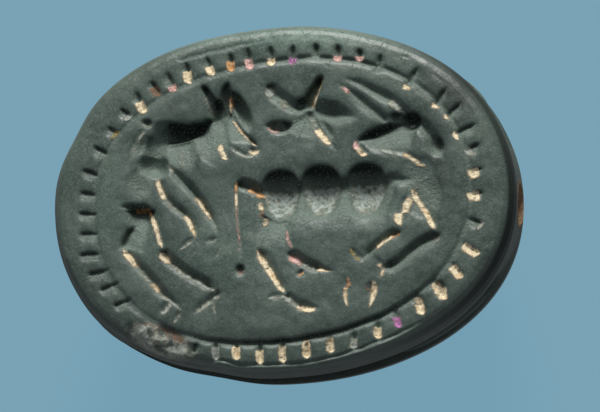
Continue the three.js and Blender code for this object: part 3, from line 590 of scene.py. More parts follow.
class Relief:
    """The carved face worked out on a fine grid: depth, what fills the cuts, and their colour."""

    def __init__(self, length, width, colours):
        self.colours = colours
        self.half = (length / 2 + RASTER_MARGIN, width / 2 + RASTER_MARGIN)
        xs = np.arange(-self.half[0], self.half[0], RASTER_STEP)
        ys = np.arange(-self.half[1], self.half[1], RASTER_STEP)
        self.x, self.y = np.meshgrid(xs, ys)
        flat = np.column_stack([self.x.ravel(), self.y.ravel()])
        self.ragged = 0.6 * lattice_noise(flat, 0.11, 3) + 0.4 * lattice_noise(flat, 0.05, 4)
        self.ragged = self.ragged.reshape(self.x.shape)
        self.wobble_x, self.wobble_y = (
            WOBBLE * lattice_noise(flat, WOBBLE_CELL, seed).reshape(self.x.shape) for seed in (5, 6))
        self.depth = np.zeros_like(self.x)
        self.fill = np.zeros_like(self.x)
        self.hue = np.zeros(self.x.shape + (3,))

    def window(self, low, high):
        """The part of the grid between two corners, as a pair of slices."""
        columns = [int((v + self.half[0]) / RASTER_STEP) for v in (low[0], high[0])]
        rows = [int((v + self.half[1]) / RASTER_STEP) for v in (low[1], high[1])]
        return slice(max(rows[0], 0), rows[1] + 2), slice(max(columns[0], 0), columns[1] + 2)

    def along(self, path, spot):
        """Share along a path, and signed distance from it, for the cells of a window."""
        x = self.x[spot] + self.wobble_x[spot]
        y = self.y[spot] + self.wobble_y[spot]
        steps = np.diff(path, axis=0)
        lengths = np.hypot(steps[:, 0], steps[:, 1])
        starts = np.concatenate([[0], np.cumsum(lengths)])
        best = np.full(x.shape, 1e9)
        share = np.zeros(x.shape)
        side = np.zeros(x.shape)
        for (ax, ay), (dx, dy), size, start in zip(path, steps, lengths, starts):
            t = np.clip(((x - ax) * dx + (y - ay) * dy) / size ** 2, 0, 1)
            away = np.hypot(x - ax - t * dx, y - ay - t * dy)
            nearer = away < best
            best = np.where(nearer, away, best)
            share = np.where(nearer, (start + t * size) / starts[-1], share)
            across = (x - ax) * dy - (y - ay) * dx
            facing = 1 if dy * LIGHT_SIDE[0] - dx * LIGHT_SIDE[1] > 0 else -1
            side = np.where(nearer, np.sign(across) * facing, side)
        return share, best, side

    def sink(self, spot, added):
        """Takes a cut out of the stone; where two cuts cross, they deepen each other a little."""
        before = self.depth[spot]
        self.depth[spot] = np.maximum(before, added) + CROSSING * np.minimum(before, added)

    def lay(self, spot, amount, colour):
        """Leaves earth in a cut, ragged at its edges."""
        thickness = DUST_THICKNESS if colour == "dust" else EARTH_THICKNESS
        amount = smoothstep(amount * (1 + 0.8 * self.ragged[spot]), 0.15, 0.9)
        self.depth[spot] -= amount * thickness * (1 + self.ragged[spot])
        stronger = amount > self.fill[spot]
        self.fill[spot] = np.maximum(self.fill[spot], amount)
        self.hue[spot] = np.where(stronger[..., None], self.colours[colour], self.hue[spot])

    def cut(self, shade, lit, depth, ends, narrow, bow, path, fills, spill=0.35):
        """One pass of a wheel along a path; spill is how far its filling climbs the shaded wall."""
        path = smooth_path(path)
        reach = 1.5 * max(shade * max(narrow, 1), lit)
        spot = self.window(path.min(0) - reach, path.max(0) + reach)
        share, away, side = self.along(path, spot)
        start, end = ends
        girth = np.clip(share / start, 0, 1) ** 0.5 * np.clip((1 - share) / end, 0, 1) ** 0.7
        taper = 1 + (narrow - 1) * share
        width = np.where(side > 0, shade * taper, lit * np.minimum(taper, 1))
        across = away / np.maximum(width * girth, 1e-3)
        wall = np.clip(1 - across, 0, 1)
        wall = np.where(side > 0, wall ** bow, wall ** LIT_BOW)
        self.sink(spot, depth * girth * wall)
        for colour, first, last, cover in fills:
            within = smoothstep(share, first - 0.05, first + 0.05)
            within = within * (1 - smoothstep(share, last - 0.05, last + 0.05))
            lit_wall = np.where(side > 0, 1 - smoothstep(across, spill - 0.35, spill),
                                1 - smoothstep(across, 0.6, 1.05))
            self.lay(spot, within * lit_wall * (0.25 + 0.75 * cover) * (girth > 0.05), colour)

    def hollow(self, middle, reach, turn, depth, steepness, fill):
        """What a drill takes out, with a reach of half-length, upper and lower half-width."""
        size = max(reach)
        half_length, upper, lower = reach
        spot = self.window(np.array(middle) - size, np.array(middle) + size)
        x, y = turned(self.x[spot] - middle[0], self.y[spot] - middle[1], -turn)
        y = y / np.where(y > 0, upper, lower)
        radius = np.abs(x / half_length) ** 2.4 + y ** 2
        self.sink(spot, depth * np.clip(1 - radius, 0, 1) ** steepness)
        if fill:
            colour, cover = fill
            # The filling lies in the lower half, the side that faces the light; drill dust there is partly
            # painted highlight
            floor = (1 - smoothstep(radius, 0.4, 0.9)) * (1 - smoothstep(y, -0.1, 0.3))
            self.lay(spot, floor * cover, colour)

    def frame_line(self):
        """The line that frames the scene, cut in short stretches."""
        degrees = np.linspace(0, 360, 181)
        size = oval_radius(np.radians(degrees - FRAME_TURN), FRAME_LENGTH, FRAME_WIDTH, FRAME_ROUNDNESS)
        angle = np.radians(degrees)
        loop = np.column_stack([size * np.cos(angle), size * np.sin(angle)]) + FRAME_CENTRE
        depths = np.interp(degrees, *np.array(FRAME_LINE_DEPTHS).T)
        steps = 6
        for start in range(0, len(loop) - 1, steps):
            path = loop[start:start + steps + 1]
            spot = self.window(path.min(0) - 0.3, path.max(0) + 0.3)
            share, away, side = self.along(path, spot)
            depth = np.interp(share, np.linspace(0, 1, steps + 1), depths[start:start + steps + 1])
            width = np.where(side > 0, 0.6, 0.9) * FRAME_LINE_WIDTH
            line = depth * np.clip(1 - away / width, 0, 1)
            self.depth[spot] = np.maximum(self.depth[spot], line)

    def hatches(self):
        """The short cuts round the scene, each cut from its end nearer the light."""
        for *ends, colour, first in HATCHES:
            one, other = on_face(ends)
            middle = (one + other) / 2
            half = (one - other) / 2 * HATCH_STRETCH
            if half @ LIGHT_SIDE < 0:
                half = -half
            fills = ((colour, first, 1.0, 1.0),) if colour else ()
            slant = abs(half[0]) / np.hypot(*half)
            self.cut(HATCH_SHADE - HATCH_LIP * slant / 2, HATCH_LIT + HATCH_LIP * slant * 0.8,
                     HATCH_DEPTH * (1 - HATCH_SHALLOWER * slant), HATCH_ENDS, 1, HATCH_BOW,
                     (middle + half, middle - half), fills, HATCH_SPILL)

    def lip(self):
        """The rubbed lip between the lower edge line and the rounded edge."""
        path = smooth_path(LOWER_EDGE)
        spot = self.window(path.min(0) - 0.5, path.max(0) + 0.5)
        share, away, side = self.along(path, spot)
        beyond = np.where(side < 0, away, -away)
        height = smoothstep(beyond, -0.04, 0.2) * (1 - smoothstep(beyond, 0.2, LIP_WIDTH))
        height *= smoothstep(share, 0.0, 0.1) * (1 - smoothstep(share, 0.75, 1.0))
        self.depth[spot] -= LIP_HEIGHT * height

    def wear(self):
        """The rough place at the edge, and the slight waves of a surface finished by hand."""
        x, y = turned(self.x - WORN_MIDDLE[0], self.y - WORN_MIDDLE[1], -WORN_TURN)
        worn = 1 - smoothstep(np.hypot(x / WORN_REACH[0], y / WORN_REACH[1]), 0.6, 1.0)
        flat = np.column_stack([self.x.ravel(), self.y.ravel()])
        lumps = [lattice_noise(flat, cell, 20 + i).reshape(self.x.shape) for i, cell in enumerate(LUMP_CELLS)]
        rough = sum(height * lump for height, lump in zip(WORN_LUMPS, lumps))
        self.depth += worn * (WORN_SUNK + rough + 0.03 * self.ragged)
        self.depth += sum(height * (1 + lump) for height, lump in zip(FACE_LUMPS, lumps))
        inner = y / WORN_REACH[1]
        stains = (("chalk", 1.0 - lumps[2] - 0.5 * inner + 0.5 * self.ragged),
                  ("earth", 1.8 * inner + 0.5 * lumps[1] - 0.5 + 0.6 * self.ragged))
        for colour, patch in stains:
            dirt = worn * smoothstep(patch, 0.25, 0.8)
            self.fill = np.maximum(self.fill, 0.8 * dirt)
            self.hue = np.where((dirt > 0.2)[..., None], self.colours[colour], self.hue)

    def engrave(self, scale):
        """All the cuts, from the deep hollows to the wear."""
        for _, middle, *drill in HOLLOWS:
            self.hollow(on_face(middle), *drill)
        for _, *wheel, spots, fills in BEAST + STAFF + GOAT + STAR:
            self.cut(*wheel, on_face(spots), fills)
        for _, *line in EDGE_LINES:
            self.cut(*line)
        self.frame_line()
        self.hatches()
        self.ground = blurred(smoothstep(self.depth, 0.02, 0.08), 1.5)
        self.depth = sum(part * blurred(self.depth, cells) for part, cells in SOFTENING)
        self.lip()
        self.wear()
        self.depth *= scale

    def finish(self):
        """Masks that follow from the relief: rubbed rims with painted sheen, painted shade where the relief
        rises towards the light, where small faces are needed.
        """
        soft = blurred(self.depth, 5)
        # Rims of the cuts: rubbed wear, partly painted highlight
        self.rim = np.clip((soft - self.depth) * 14, 0, 1) * (self.depth < 0.03)
        # Painted shade: how steeply the relief rises ahead towards the light, standing in for the shadow that
        # it casts
        horizon = np.zeros_like(self.depth)
        for cells in (2, 3, 5, 8, 12, 17, 24, 34, 46):
            shift = (-round(cells * LIGHT_SIDE[1]), -round(cells * LIGHT_SIDE[0]))
            ahead = np.roll(self.depth, shift, (0, 1))
            horizon = np.maximum(horizon, (self.depth - ahead) / (cells * RASTER_STEP))
        self.shelter = blurred(smoothstep(horizon, 0.4, 1.5), 1.2)
        step = np.gradient(soft, RASTER_STEP)
        self.busy = blurred(np.hypot(*step) + 4 * (self.depth > 0.01), 4)

    def sample(self, field, x, y):
        """Reads a grid between its cells."""
        column = np.clip((x + self.half[0]) / RASTER_STEP, 0, field.shape[1] - 1.001)
        row = np.clip((y + self.half[1]) / RASTER_STEP, 0, field.shape[0] - 1.001)
        c, r = column.astype(int), row.astype(int)
        fc, fr = column - c, row - r
        if field.ndim == 3:
            fc, fr = fc[:, None], fr[:, None]
        upper = field[r, c] * (1 - fc) + field[r, c + 1] * fc
        lower = field[r + 1, c] * (1 - fc) + field[r + 1, c + 1] * fc
        return upper * (1 - fr) + lower * fr


class Stone:
    """The stone's form: where each direction from its middle lands on its surface."""

    def __init__(self, length, width):
        self.length = length
        self.width = width
        shares, heights = np.array(PROFILE).T
        reach = (length + width) / 4
        runs = np.concatenate([[0], np.cumsum(np.hypot(np.diff(shares) * reach, np.diff(heights)))])
        self.total = runs[-1]
        self.runs = np.linspace(0, self.total, 4000)
        self.shares = self.soften(np.interp(self.runs, runs, shares))
        self.heights = self.soften(np.interp(self.runs, runs, heights))
        self.face_end = runs[PROFILE.index(WIDEST)]

    def soften(self, values):
        """Rounds the corners of the profile."""
        cells = int(PROFILE_SOFTNESS / (self.total / len(values)))
        kernel = np.hanning(2 * cells + 3)
        padded = np.pad(values, cells + 1, mode="edge")
        return np.convolve(padded, kernel / kernel.sum(), mode="valid")

    def outline(self, angle):
        """Points of the hand-cut oval at its widest."""
        x, y = oval(angle, self.length, self.width, ROUNDNESS, OUTLINE_TURN)
        degrees = np.degrees(np.arctan2(y, x)) % 360
        size = np.hypot(x, y)
        change = sum(by * np.exp(-((degrees - at) / spread) ** 2) for at, spread, by in WAVERS)
        return x * (size + change) / size, y * (size + change) / size

    def place(self, directions):
        """Positions in millimetres for unit directions, with the run along the profile and the angle."""
        run = np.arccos(np.clip(directions[:, 2], -1, 1)) / np.pi * self.total
        angle = np.arctan2(directions[:, 1], directions[:, 0])
        share = np.interp(run, self.runs, self.shares)
        z = np.interp(run, self.runs, self.heights)
        band = smoothstep(z, LEG_BAND_BOTTOM - 0.08, LEG_BAND_BOTTOM + 0.04)
        band *= 1 - smoothstep(z, LEG_BAND_TOP - 0.04, LEG_BAND_TOP + 0.1)
        share = share - LEG_BAND_INSET * band * np.sin(angle) ** 2
        x, y = self.outline(angle)
        x, y = x * share, y * share
        fall = HEAD_DROP * (1 - smoothstep(x, *HEAD_SLOPE)) * np.clip(1 - z / LEG_BAND_BOTTOM, 0, 1)
        return np.column_stack([x, y, z + fall]), run, angle

    def painted_edge_shade(self, run, angle):
        """How much painted shade the rounded edge gets where it turns away from the light."""
        past = run - self.face_end
        lower = np.clip(-np.sin(angle + 0.35), 0, 1) ** 0.5
        right = np.clip(np.cos(angle + 0.2), 0, 1)
        under = smoothstep(past, -0.6, -0.1) * (1 - smoothstep(past, 2.6, 3.6))
        beside = smoothstep(past, -0.65, -0.4) * (1 - smoothstep(past, 0.5, 0.9))
        return np.maximum(EDGE_SHADE_BELOW * lower * under, EDGE_SHADE_BESIDE * right * beside)


def tone_and_painted_light(x, y):
    """How light the colour is at points of the face: the stone's own tone with painted highlight and shade.
    """
    total = 1
    for (middle_x, middle_y), (reach_x, reach_y), amount in LIGHT_AND_TONE_PATCHES:
        away = ((x - middle_x) / reach_x) ** 2 + ((y - middle_y) / reach_y) ** 2
        total = total + amount * np.exp(-away)
    return total


def near_path(points, path):
    """Distance from points to a path, both with any number of columns."""
    best = np.full(len(points), 1e9)
    for start, end in zip(path[:-1], path[1:]):
        step = end - start
        share = np.clip((points - start) @ step / (step @ step), 0, 1)
        best = np.minimum(best, np.linalg.norm(points - start - share[:, None] * step, axis=1))
    return best


def back_grooves(points):
    """How deep the lines on the beetle's back are at points of the stone."""
    side = np.linspace(-1, 1, 17)
    length = np.linspace(0, 1, 9)
    lines = (
        np.column_stack([NECK_X - NECK_BOW * side ** 2, NECK_REACH * side]),
        np.column_stack([HEAD_X + HEAD_BOW * side ** 2, HEAD_REACH * side]),
        np.column_stack([NECK_X + (TAIL_X - NECK_X) * length, 0 * length]),
    )
    depth = np.zeros(len(points))
    for line in lines:
        across = near_path(points[:, :2], line) / (GROOVE_WIDTH / 2)
        depth = np.maximum(depth, GROOVE_DEPTH * np.exp(-across ** 2))
    return depth * (points[:, 2] < LEG_BAND_BOTTOM - 0.2)


def leg_relief(stone, points):
    """How far the folded legs stand out of the band under the base."""
    raised = np.zeros(len(points))
    bends = np.array(LEG_BENDS)
    for side in (1, -1):
        for start, end in LEGS:
            x, y = stone.outline(side * np.radians(start + (end - start) * bends))
            z = LEG_BAND_BOTTOM + (LEG_BAND_TOP - LEG_BAND_BOTTOM) * bends ** 0.7
            path = smooth_path(np.column_stack([x, y, z]) * (LEG_SHARE, LEG_SHARE, 1), 4)
            across = near_path(points, path) / (LEG_WIDTH / 2)
            raised = np.maximum(raised, LEG_HEIGHT * np.sqrt(np.clip(1 - (across / 1.5) ** 2, 0, 1)))
    return raised


def mouth_distance(points):
    """How far points are outside the string hole's wall, seen along the hole."""
    return np.hypot(points[:, 1], points[:, 2] - HOLE_Z) - HOLE_RADIUS


def directions_of(ball):
    """Unit vectors from the ball's middle to its vertices."""
    directions = np.array([v.co[:] for v in ball.verts])
    return directions / np.linalg.norm(directions, axis=1)[:, None]


def refined_ball(stone, relief, fine, coarse):
    """A ball whose faces are small where the stone's surface is carved."""
    ball = bmesh.new()
    bmesh.ops.create_icosphere(ball, subdivisions=6, radius=1.0)
    for _ in range(4):
        ball.verts.ensure_lookup_table()
        ball.edges.ensure_lookup_table()
        points, run, _ = stone.place(directions_of(ball))
        busy = relief.sample(relief.busy, points[:, 0], points[:, 1]) * (run < stone.face_end)
        wanted = coarse + (fine - coarse) * smoothstep(busy, 0.05, 0.8)
        rim = np.exp(-((run - stone.face_end) / 0.35) ** 2)
        wanted = np.where(mouth_distance(points) < 0.3, np.minimum(wanted, MOUTH_EDGE), wanted)
        wanted = np.minimum(wanted, coarse + (RIM_EDGE - coarse) * rim)
        ends = np.array([[v.index for v in edge.verts] for edge in ball.edges])
        lengths = np.linalg.norm(points[ends[:, 0]] - points[ends[:, 1]], axis=1)
        limit = np.minimum(wanted[ends[:, 0]], wanted[ends[:, 1]]) * SPLIT_FROM
        chosen = [ball.edges[i] for i in np.nonzero(lengths > limit)[0]]
        if not chosen:
            break
        bmesh.ops.subdivide_edges(ball, edges=chosen, cuts=1, use_grid_fill=True)
        bmesh.ops.triangulate(ball, faces=[f for f in ball.faces if len(f.verts) > 3])
    return ball


def bore_hole(stone_mesh, fill, hue, earth):
    """Opens the string hole from end to end, with earth on its wall."""
    inside = [
        v for v in stone_mesh.verts
        if math.hypot(v.co.y, v.co.z - HOLE_Z) < HOLE_RADIUS - 0.02 and abs(v.co.x) > MOUTH_FROM_X
    ]
    bmesh.ops.delete(stone_mesh, geom=inside, context="VERTS")
    rim = [edge for edge in stone_mesh.edges if edge.is_boundary]
    for vertex in {v for edge in rim for v in edge.verts}:
        away = math.hypot(vertex.co.y, vertex.co.z - HOLE_Z)
        vertex.co.y *= HOLE_RADIUS / away
        vertex.co.z = HOLE_Z + (vertex.co.z - HOLE_Z) * HOLE_RADIUS / away
    made = bmesh.ops.bridge_loops(stone_mesh, edges=rim)
    long_edges = [edge for edge in made["edges"] if edge.calc_length() > MOUTH_FROM_X]
    cut = bmesh.ops.subdivide_edges(stone_mesh, edges=long_edges, cuts=BORE_STEPS - 1, use_grid_fill=True)
    for vertex in {v for v in cut["geom_inner"] if isinstance(v, bmesh.types.BMVert)}:
        vertex[fill] = BORE_DIRT
        vertex[hue] = (*earth, 1)
    bmesh.ops.triangulate(stone_mesh, faces=[f for f in stone_mesh.faces if len(f.verts) > 3])


def add_node(tree, kind, inputs=None, **settings):
    """A shader node with its settings and plain input values."""
    node = tree.nodes.new(kind)
    for name, value in settings.items():
        setattr(node, name, value)
    for name, value in (inputs or {}).items():
        if isinstance(value, bpy.types.NodeSocket):
            tree.links.new(value, node.inputs[name])
        else:
            node.inputs[name].default_value = value
    return node


def mixed(tree, factor, low, high, blend="MIX"):
    """Mixes two colours, each a socket or a plain colour."""
    node = add_node(tree, "ShaderNodeMix", data_type="RGBA", blend_type=blend, clamp_factor=True)
    for socket, value in ((node.inputs[0], factor), (node.inputs[6], low), (node.inputs[7], high)):
        if isinstance(value, bpy.types.NodeSocket):
            tree.links.new(value, socket)
        elif isinstance(value, (int, float)):
            socket.default_value = value
        else:
            socket.default_value = (*value, 1)[:4]
    return node.outputs[2]


def ranged(tree, value, low, high, to_low=0.0, to_high=1.0):
    """Stretches a value from one range to another, with clamping."""
    node = add_node(tree, "ShaderNodeMapRange", {
        "From Min": low, "From Max": high, "To Min": to_low, "To Max": to_high}, clamp=True)
    tree.links.new(value, node.inputs["Value"])
    return node.outputs["Result"]


def reckoned(tree, operation, a, b):
    """Two values put together, each a socket or a number."""
    node = add_node(tree, "ShaderNodeMath", operation=operation)
    for socket, value in zip(node.inputs, (a, b)):
        if isinstance(value, bpy.types.NodeSocket):
            tree.links.new(value, socket)
        else:
            socket.default_value = value
    return node.outputs[0]


def times(tree, a, b):
    return reckoned(tree, "MULTIPLY", a, b)


def plus(tree, a, b):
    return reckoned(tree, "ADD", a, b)


def noise(tree, place, scale, detail, roughness):
    """Plain noise at a place, from 0 to 1."""
    return add_node(tree, "ShaderNodeTexNoise", {
        "Vector": place, "Scale": scale, "Detail": detail, "Roughness": roughness}).outputs["Fac"]


def new_group(name, outputs):
    """A node group that takes a position and puts out values, with its two end nodes."""
    group = bpy.data.node_groups.new(name, "ShaderNodeTree")
    group.interface.new_socket("Position", in_out="INPUT", socket_type="NodeSocketVector")
    for output in outputs:
        group.interface.new_socket(output, in_out="OUTPUT", socket_type="NodeSocketFloat")
    place = add_node(group, "NodeGroupInput").outputs["Position"]
    return group, place, add_node(group, "NodeGroupOutput")


def grain_group():
    """Mottling, speckles, painted glints and fine grain of a dense stone, at a scale in millimetres."""
    group, place, end = new_group("Stone grain", ("Mottle", "Speckle", "Glint", "Height"))
    tiny = noise(group, place, 19.0, 2, 0.6)
    broad = noise(group, place, 0.55, 5, 0.6)
    fine = noise(group, place, 5.0, 5, 0.65)
    dots = noise(group, place, 14.0, 3, 0.7)
    mottle = plus(group, times(group, broad, 0.5), times(group, fine, 0.5))
    height = plus(group, times(group, fine, 0.6), times(group, dots, 0.4))
    group.links.new(ranged(group, mottle, 0.36, 0.64), end.inputs["Mottle"])
    group.links.new(ranged(group, dots, 0.53, 0.7), end.inputs["Speckle"])
    group.links.new(ranged(group, tiny, 0.62, 0.74), end.inputs["Glint"])
    group.links.new(height, end.inputs["Height"])
    return group


def scratch_group():
    """Fine straight scratches in three directions."""
    group, place, end = new_group("Fine scratches", ("Lines",))
    total = None
    for turn, stretch in ((0.9, 0.5), (-0.6, 0.4), (1.9, 0.45)):
        turned_place = add_node(group, "ShaderNodeMapping", {
            "Vector": place, "Rotation": (0, 0, turn)}).outputs["Vector"]
        drawn_out = add_node(group, "ShaderNodeMapping", {
            "Vector": turned_place, "Scale": (stretch, 9, 1)}).outputs["Vector"]
        lines = ranged(group, noise(group, drawn_out, 1.5, 3, 0.6), 0.66, 0.72)
        total = lines if total is None else reckoned(group, "MAXIMUM", total, lines)
    group.links.new(total, end.inputs["Lines"])
    return group


# Colours of the stone's looks that aren't settings, first the painted shade and the painted glint; the last
# four multiply the colour of the earth
PAINTED_SHADE_COLOUR = (0.004, 0.009, 0.006)
GLINT = (0.5, 0.5, 0.45)
THIN_EARTH = (0.5, 0.36, 0.26)
BROWNER_EARTH = (0.88, 0.64, 0.42)
PALE_CRUMB = (1.35, 1.45, 1.6)
BROWN_CRUMB = (0.5, 0.4, 0.32)


def stone_material(colours):
    """Dark green-grey stone with rubbed edges and painted sheen, painted shade, painted glints and earth in
    its cuts.
    """
    material = bpy.data.materials.new("dark_green_stone")
    material.use_nodes = True
    tree = material.node_tree
    tree.nodes.clear()
    output = add_node(tree, "ShaderNodeOutputMaterial")
    surface = add_node(tree, "ShaderNodeBsdfPrincipled", {"IOR": 1.6})
    tree.links.new(surface.outputs["BSDF"], output.inputs["Surface"])
    place = add_node(tree, "ShaderNodeTexCoord").outputs["Object"]
    scaled = add_node(tree, "ShaderNodeMapping", {
        "Vector": place, "Scale": (1 / MM, 1 / MM, 1 / MM)}).outputs["Vector"]
    grain = add_node(tree, "ShaderNodeGroup", node_tree=grain_group())
    tree.links.new(scaled, grain.inputs["Position"])
    scratches = add_node(tree, "ShaderNodeGroup", node_tree=scratch_group())
    tree.links.new(scaled, scratches.inputs["Position"])
    scratch = scratches.outputs["Lines"]
    hue = add_node(tree, "ShaderNodeAttribute", attribute_name="hue").outputs["Color"]
    tone, fill, rubbed, shelter, ground = (
        add_node(tree, "ShaderNodeAttribute", attribute_name=name).outputs["Fac"] for name in MARKS)

    colour = mixed(tree, grain.outputs["Mottle"], colours.stone_dark, colours.stone_light)
    colour = mixed(tree, times(tree, grain.outputs["Speckle"], 0.65), colour, colours.rubbed)
    colour = mixed(tree, times(tree, scratch, 0.22), colour, colours.rubbed)
    # Rubbed rims and edge: worn stone with painted sheen
    colour = mixed(tree, times(tree, rubbed, 0.55), colour, colours.rubbed)
    # Tone: the stone's own lighter and darker parts, with painted highlight and shade
    colour = mixed(tree, 1.0, colour, tone, "MULTIPLY")
    colour = mixed(tree, times(tree, ground, 0.55), colour, colours.ground_stone)
    # Painted shade: the colour goes towards near black where the relief would shadow it
    colour = mixed(tree, times(tree, shelter, 0.92), colour, PAINTED_SHADE_COLOUR)
    # Painted glints: small white specks of highlight, stronger in the cuts
    glint = times(tree, grain.outputs["Glint"], ranged(tree, ground, 0, 1, 0.12, 0.75))
    colour = mixed(tree, glint, colour, GLINT)

    crumbs = noise(tree, scaled, 9.0, 4, 0.7)
    stains = noise(tree, scaled, 3.2, 3, 0.6)
    thin = mixed(tree, 1.0, hue, THIN_EARTH, "MULTIPLY")
    browner = mixed(tree, 1.0, hue, BROWNER_EARTH, "MULTIPLY")
    pale = mixed(tree, 1.0, hue, PALE_CRUMB, "MULTIPLY")
    brown = mixed(tree, 1.0, hue, BROWN_CRUMB, "MULTIPLY")
    varied = mixed(tree, ranged(tree, stains, 0.54, 0.7, 0, 0.8), hue, browner)
    earth = mixed(tree, ranged(tree, fill, 0.3, 0.95), thin, varied)
    earth = mixed(tree, ranged(tree, crumbs, 0.5, 0.66, 0, 0.6), earth, pale)
    earth = mixed(tree, ranged(tree, crumbs, 0.45, 0.3, 0, 0.6), earth, brown)
    cover = times(tree, fill, ranged(tree, crumbs, 0.33, 0.45, 0.5, 1))
    tree.links.new(mixed(tree, cover, colour, earth), surface.inputs["Base Color"])

    rough = ranged(tree, grain.outputs["Mottle"], 0, 1, 0.42, 0.55)
    rough = plus(tree, rough, times(tree, ground, 0.12))
    rough = plus(tree, rough, times(tree, cover, 0.4))
    tree.links.new(rough, surface.inputs["Roughness"])
    # Painted shade also dims the reflection
    tree.links.new(ranged(tree, shelter, 0, 1, 0.5, 0.06), surface.inputs["Specular IOR Level"])

    height = plus(tree, grain.outputs["Height"], times(tree, scratch, -0.5))
    coarse = times(tree, ranged(tree, ground, 0, 1, 0.0, 2.5), crumbs)
    height = plus(tree, height, plus(tree, coarse, times(tree, cover, crumbs)))
    bump = add_node(tree, "ShaderNodeBump", {"Distance": BUMP_DISTANCE * MM, "Height": height})
    tree.links.new(bump.outputs["Normal"], surface.inputs["Normal"])
    return material


def surface_marks(stone, relief, points, run, angle):
    """What the material reads at each vertex: a value for each of MARKS, and the earth's colour."""
    x, y = points[:, 0], points[:, 1]
    on_face = 1 - smoothstep(run, stone.face_end - 0.2, stone.face_end)
    tone = 1 + (tone_and_painted_light(x, y) - 1) * on_face
    # A lighter band along the rounded edge of the face: partly rubbed wear, partly painted sheen
    edge = np.exp(-((run - stone.face_end + 0.25) / 0.3) ** 2)
    rubbed = np.maximum(relief.sample(relief.rim, x, y) * on_face, edge)
    # Painted shade: from the relief, and on the rounded edge where it turns from the light
    shelter = np.maximum(relief.sample(relief.shelter, x, y) * on_face, stone.painted_edge_shade(run, angle))
    ground = relief.sample(relief.ground, x, y) * on_face
    hues = relief.sample(relief.hue, x, y)
    hues /= np.maximum(relief.sample((relief.fill > 0).astype(float), x, y), 0.05)[:, None]
    dirt = MOUTH_DIRT * (1 - smoothstep(mouth_distance(points), 0.02, 0.22)) * (x > 0)
    fill = np.maximum(relief.sample(relief.fill, x, y) * on_face, dirt)
    hues = np.where((dirt > 0.02)[:, None], relief.colours["rust"], hues)
    return np.column_stack([tone, fill, rubbed, shelter, ground]), np.clip(hues, 0, 1)


def carved(stone, relief, points, run):
    """The points of the smooth stone moved to the carved one."""
    on_face = 1 - smoothstep(run, stone.face_end - 0.2, stone.face_end)
    carving = relief.sample(relief.depth, points[:, 0], points[:, 1]) * on_face
    points = points - carving[:, None] * (0, 0, 1)
    outward = points * (1, 1, 0)
    outward /= np.maximum(np.linalg.norm(outward, axis=1), 1e-6)[:, None]
    in_band = smoothstep(points[:, 2], LEG_BAND_BOTTOM - 0.02, LEG_BAND_BOTTOM + 0.12)
    in_band *= 1 - smoothstep(points[:, 2], LEG_BAND_TOP - 0.12, LEG_BAND_TOP + 0.02)
    points += outward * (leg_relief(stone, points) * in_band)[:, None]
    points[:, 2] += back_grooves(points)
    return points


class SEAL_OT_stone(bpy.types.Operator):
    """Carve the stone, with its engraved face, its legs, its back and its string hole"""

    bl_idname = "seal.stone"
    bl_label = "Carve the stone"

    def execute(self, context):
        sizes = context.scene.seal_stone
        colours = context.scene.seal_colours
        length = sizes.length / MM
        width = sizes.width / MM
        earths = {name: np.array(getattr(colours, name)[:]) for name in EARTHS}
        relief = Relief(length, width, earths)
        relief.engrave(sizes.cut_scale)
        relief.finish()
        stone = Stone(length, width)
        ball = refined_ball(stone, relief, sizes.carved_edge / MM, sizes.plain_edge / MM)
        points, run, angle = stone.place(directions_of(ball))
        marks, hues = surface_marks(stone, relief, points, run, angle)
        points = carved(stone, relief, points, run)

        layers = [ball.verts.layers.float.new(name) for name in MARKS]
        hue = ball.verts.layers.float_color.new("hue")
        for vertex, point, values, tint in zip(ball.verts, points, marks, hues):
            vertex.co = point
            vertex[hue] = (*tint, 1)
            for layer, value in zip(layers, values):
                vertex[layer] = value
        bore_hole(ball, layers[MARKS.index("fill")], hue, earths["earth"])
        bmesh.ops.scale(ball, vec=(MM, MM, MM), verts=ball.verts)
        bmesh.ops.recalc_face_normals(ball, faces=ball.faces)
        for face in ball.faces:
            face.smooth = True
        mesh = bpy.data.meshes.new("stone")
        ball.to_mesh(mesh)
        ball.free()
        mesh.materials.append(stone_material(colours))
        piece = bpy.data.objects.new("stone", mesh)
        context.scene.collection.objects.link(piece)
        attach(piece, "root")
        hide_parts(NODE)
        return {"FINISHED"}


def add_light(name, place, target, size, power, colour):
    """A square lamp that faces a target."""
    data = bpy.data.lights.new(name, "AREA")
    data.shape = "RECTANGLE"
    data.size, data.size_y = size
    data.energy = power
    data.color = colour
    lamp = bpy.data.objects.new(name, data)
    lamp.location = place
    lamp.rotation_mode = "QUATERNION"
    lamp.rotation_quaternion = (Vector(target) - Vector(place)).to_track_quat("-Z", "Y")
    bpy.context.scene.collection.objects.link(lamp)


# The lights, in metres and watts, and the floor: share of its colour that takes light and shadow
KEY_PLACE, KEY_SIZE, KEY_COLOUR = (0.02, 0.3, 0.17), (0.12, 0.1), (1, 0.99, 0.96)
FILL_PLACE, FILL_SIZE, FILL_COLOUR = (-0.15, -0.12, 0.25), (0.3, 0.3), (0.9, 0.96, 1)
FILL_POWER = 0.05
SKY_COLOUR, SKY_STRENGTH = (0.86, 0.93, 1), 0.22
FLOOR_SHADE, FLOOR_GLOW = 0.03, 0.9

# The camera: scale of its picture in pixels per millimetre, the height of the point that it looks at,
# and how many degrees it stands off the face's normal, to the right and to the bottom of the picture
PX_PER_MM = 29.1
AIM_Z = 7.7
TILT_X = 9.0
TILT_Y = 8.7
SENSOR = 36.0


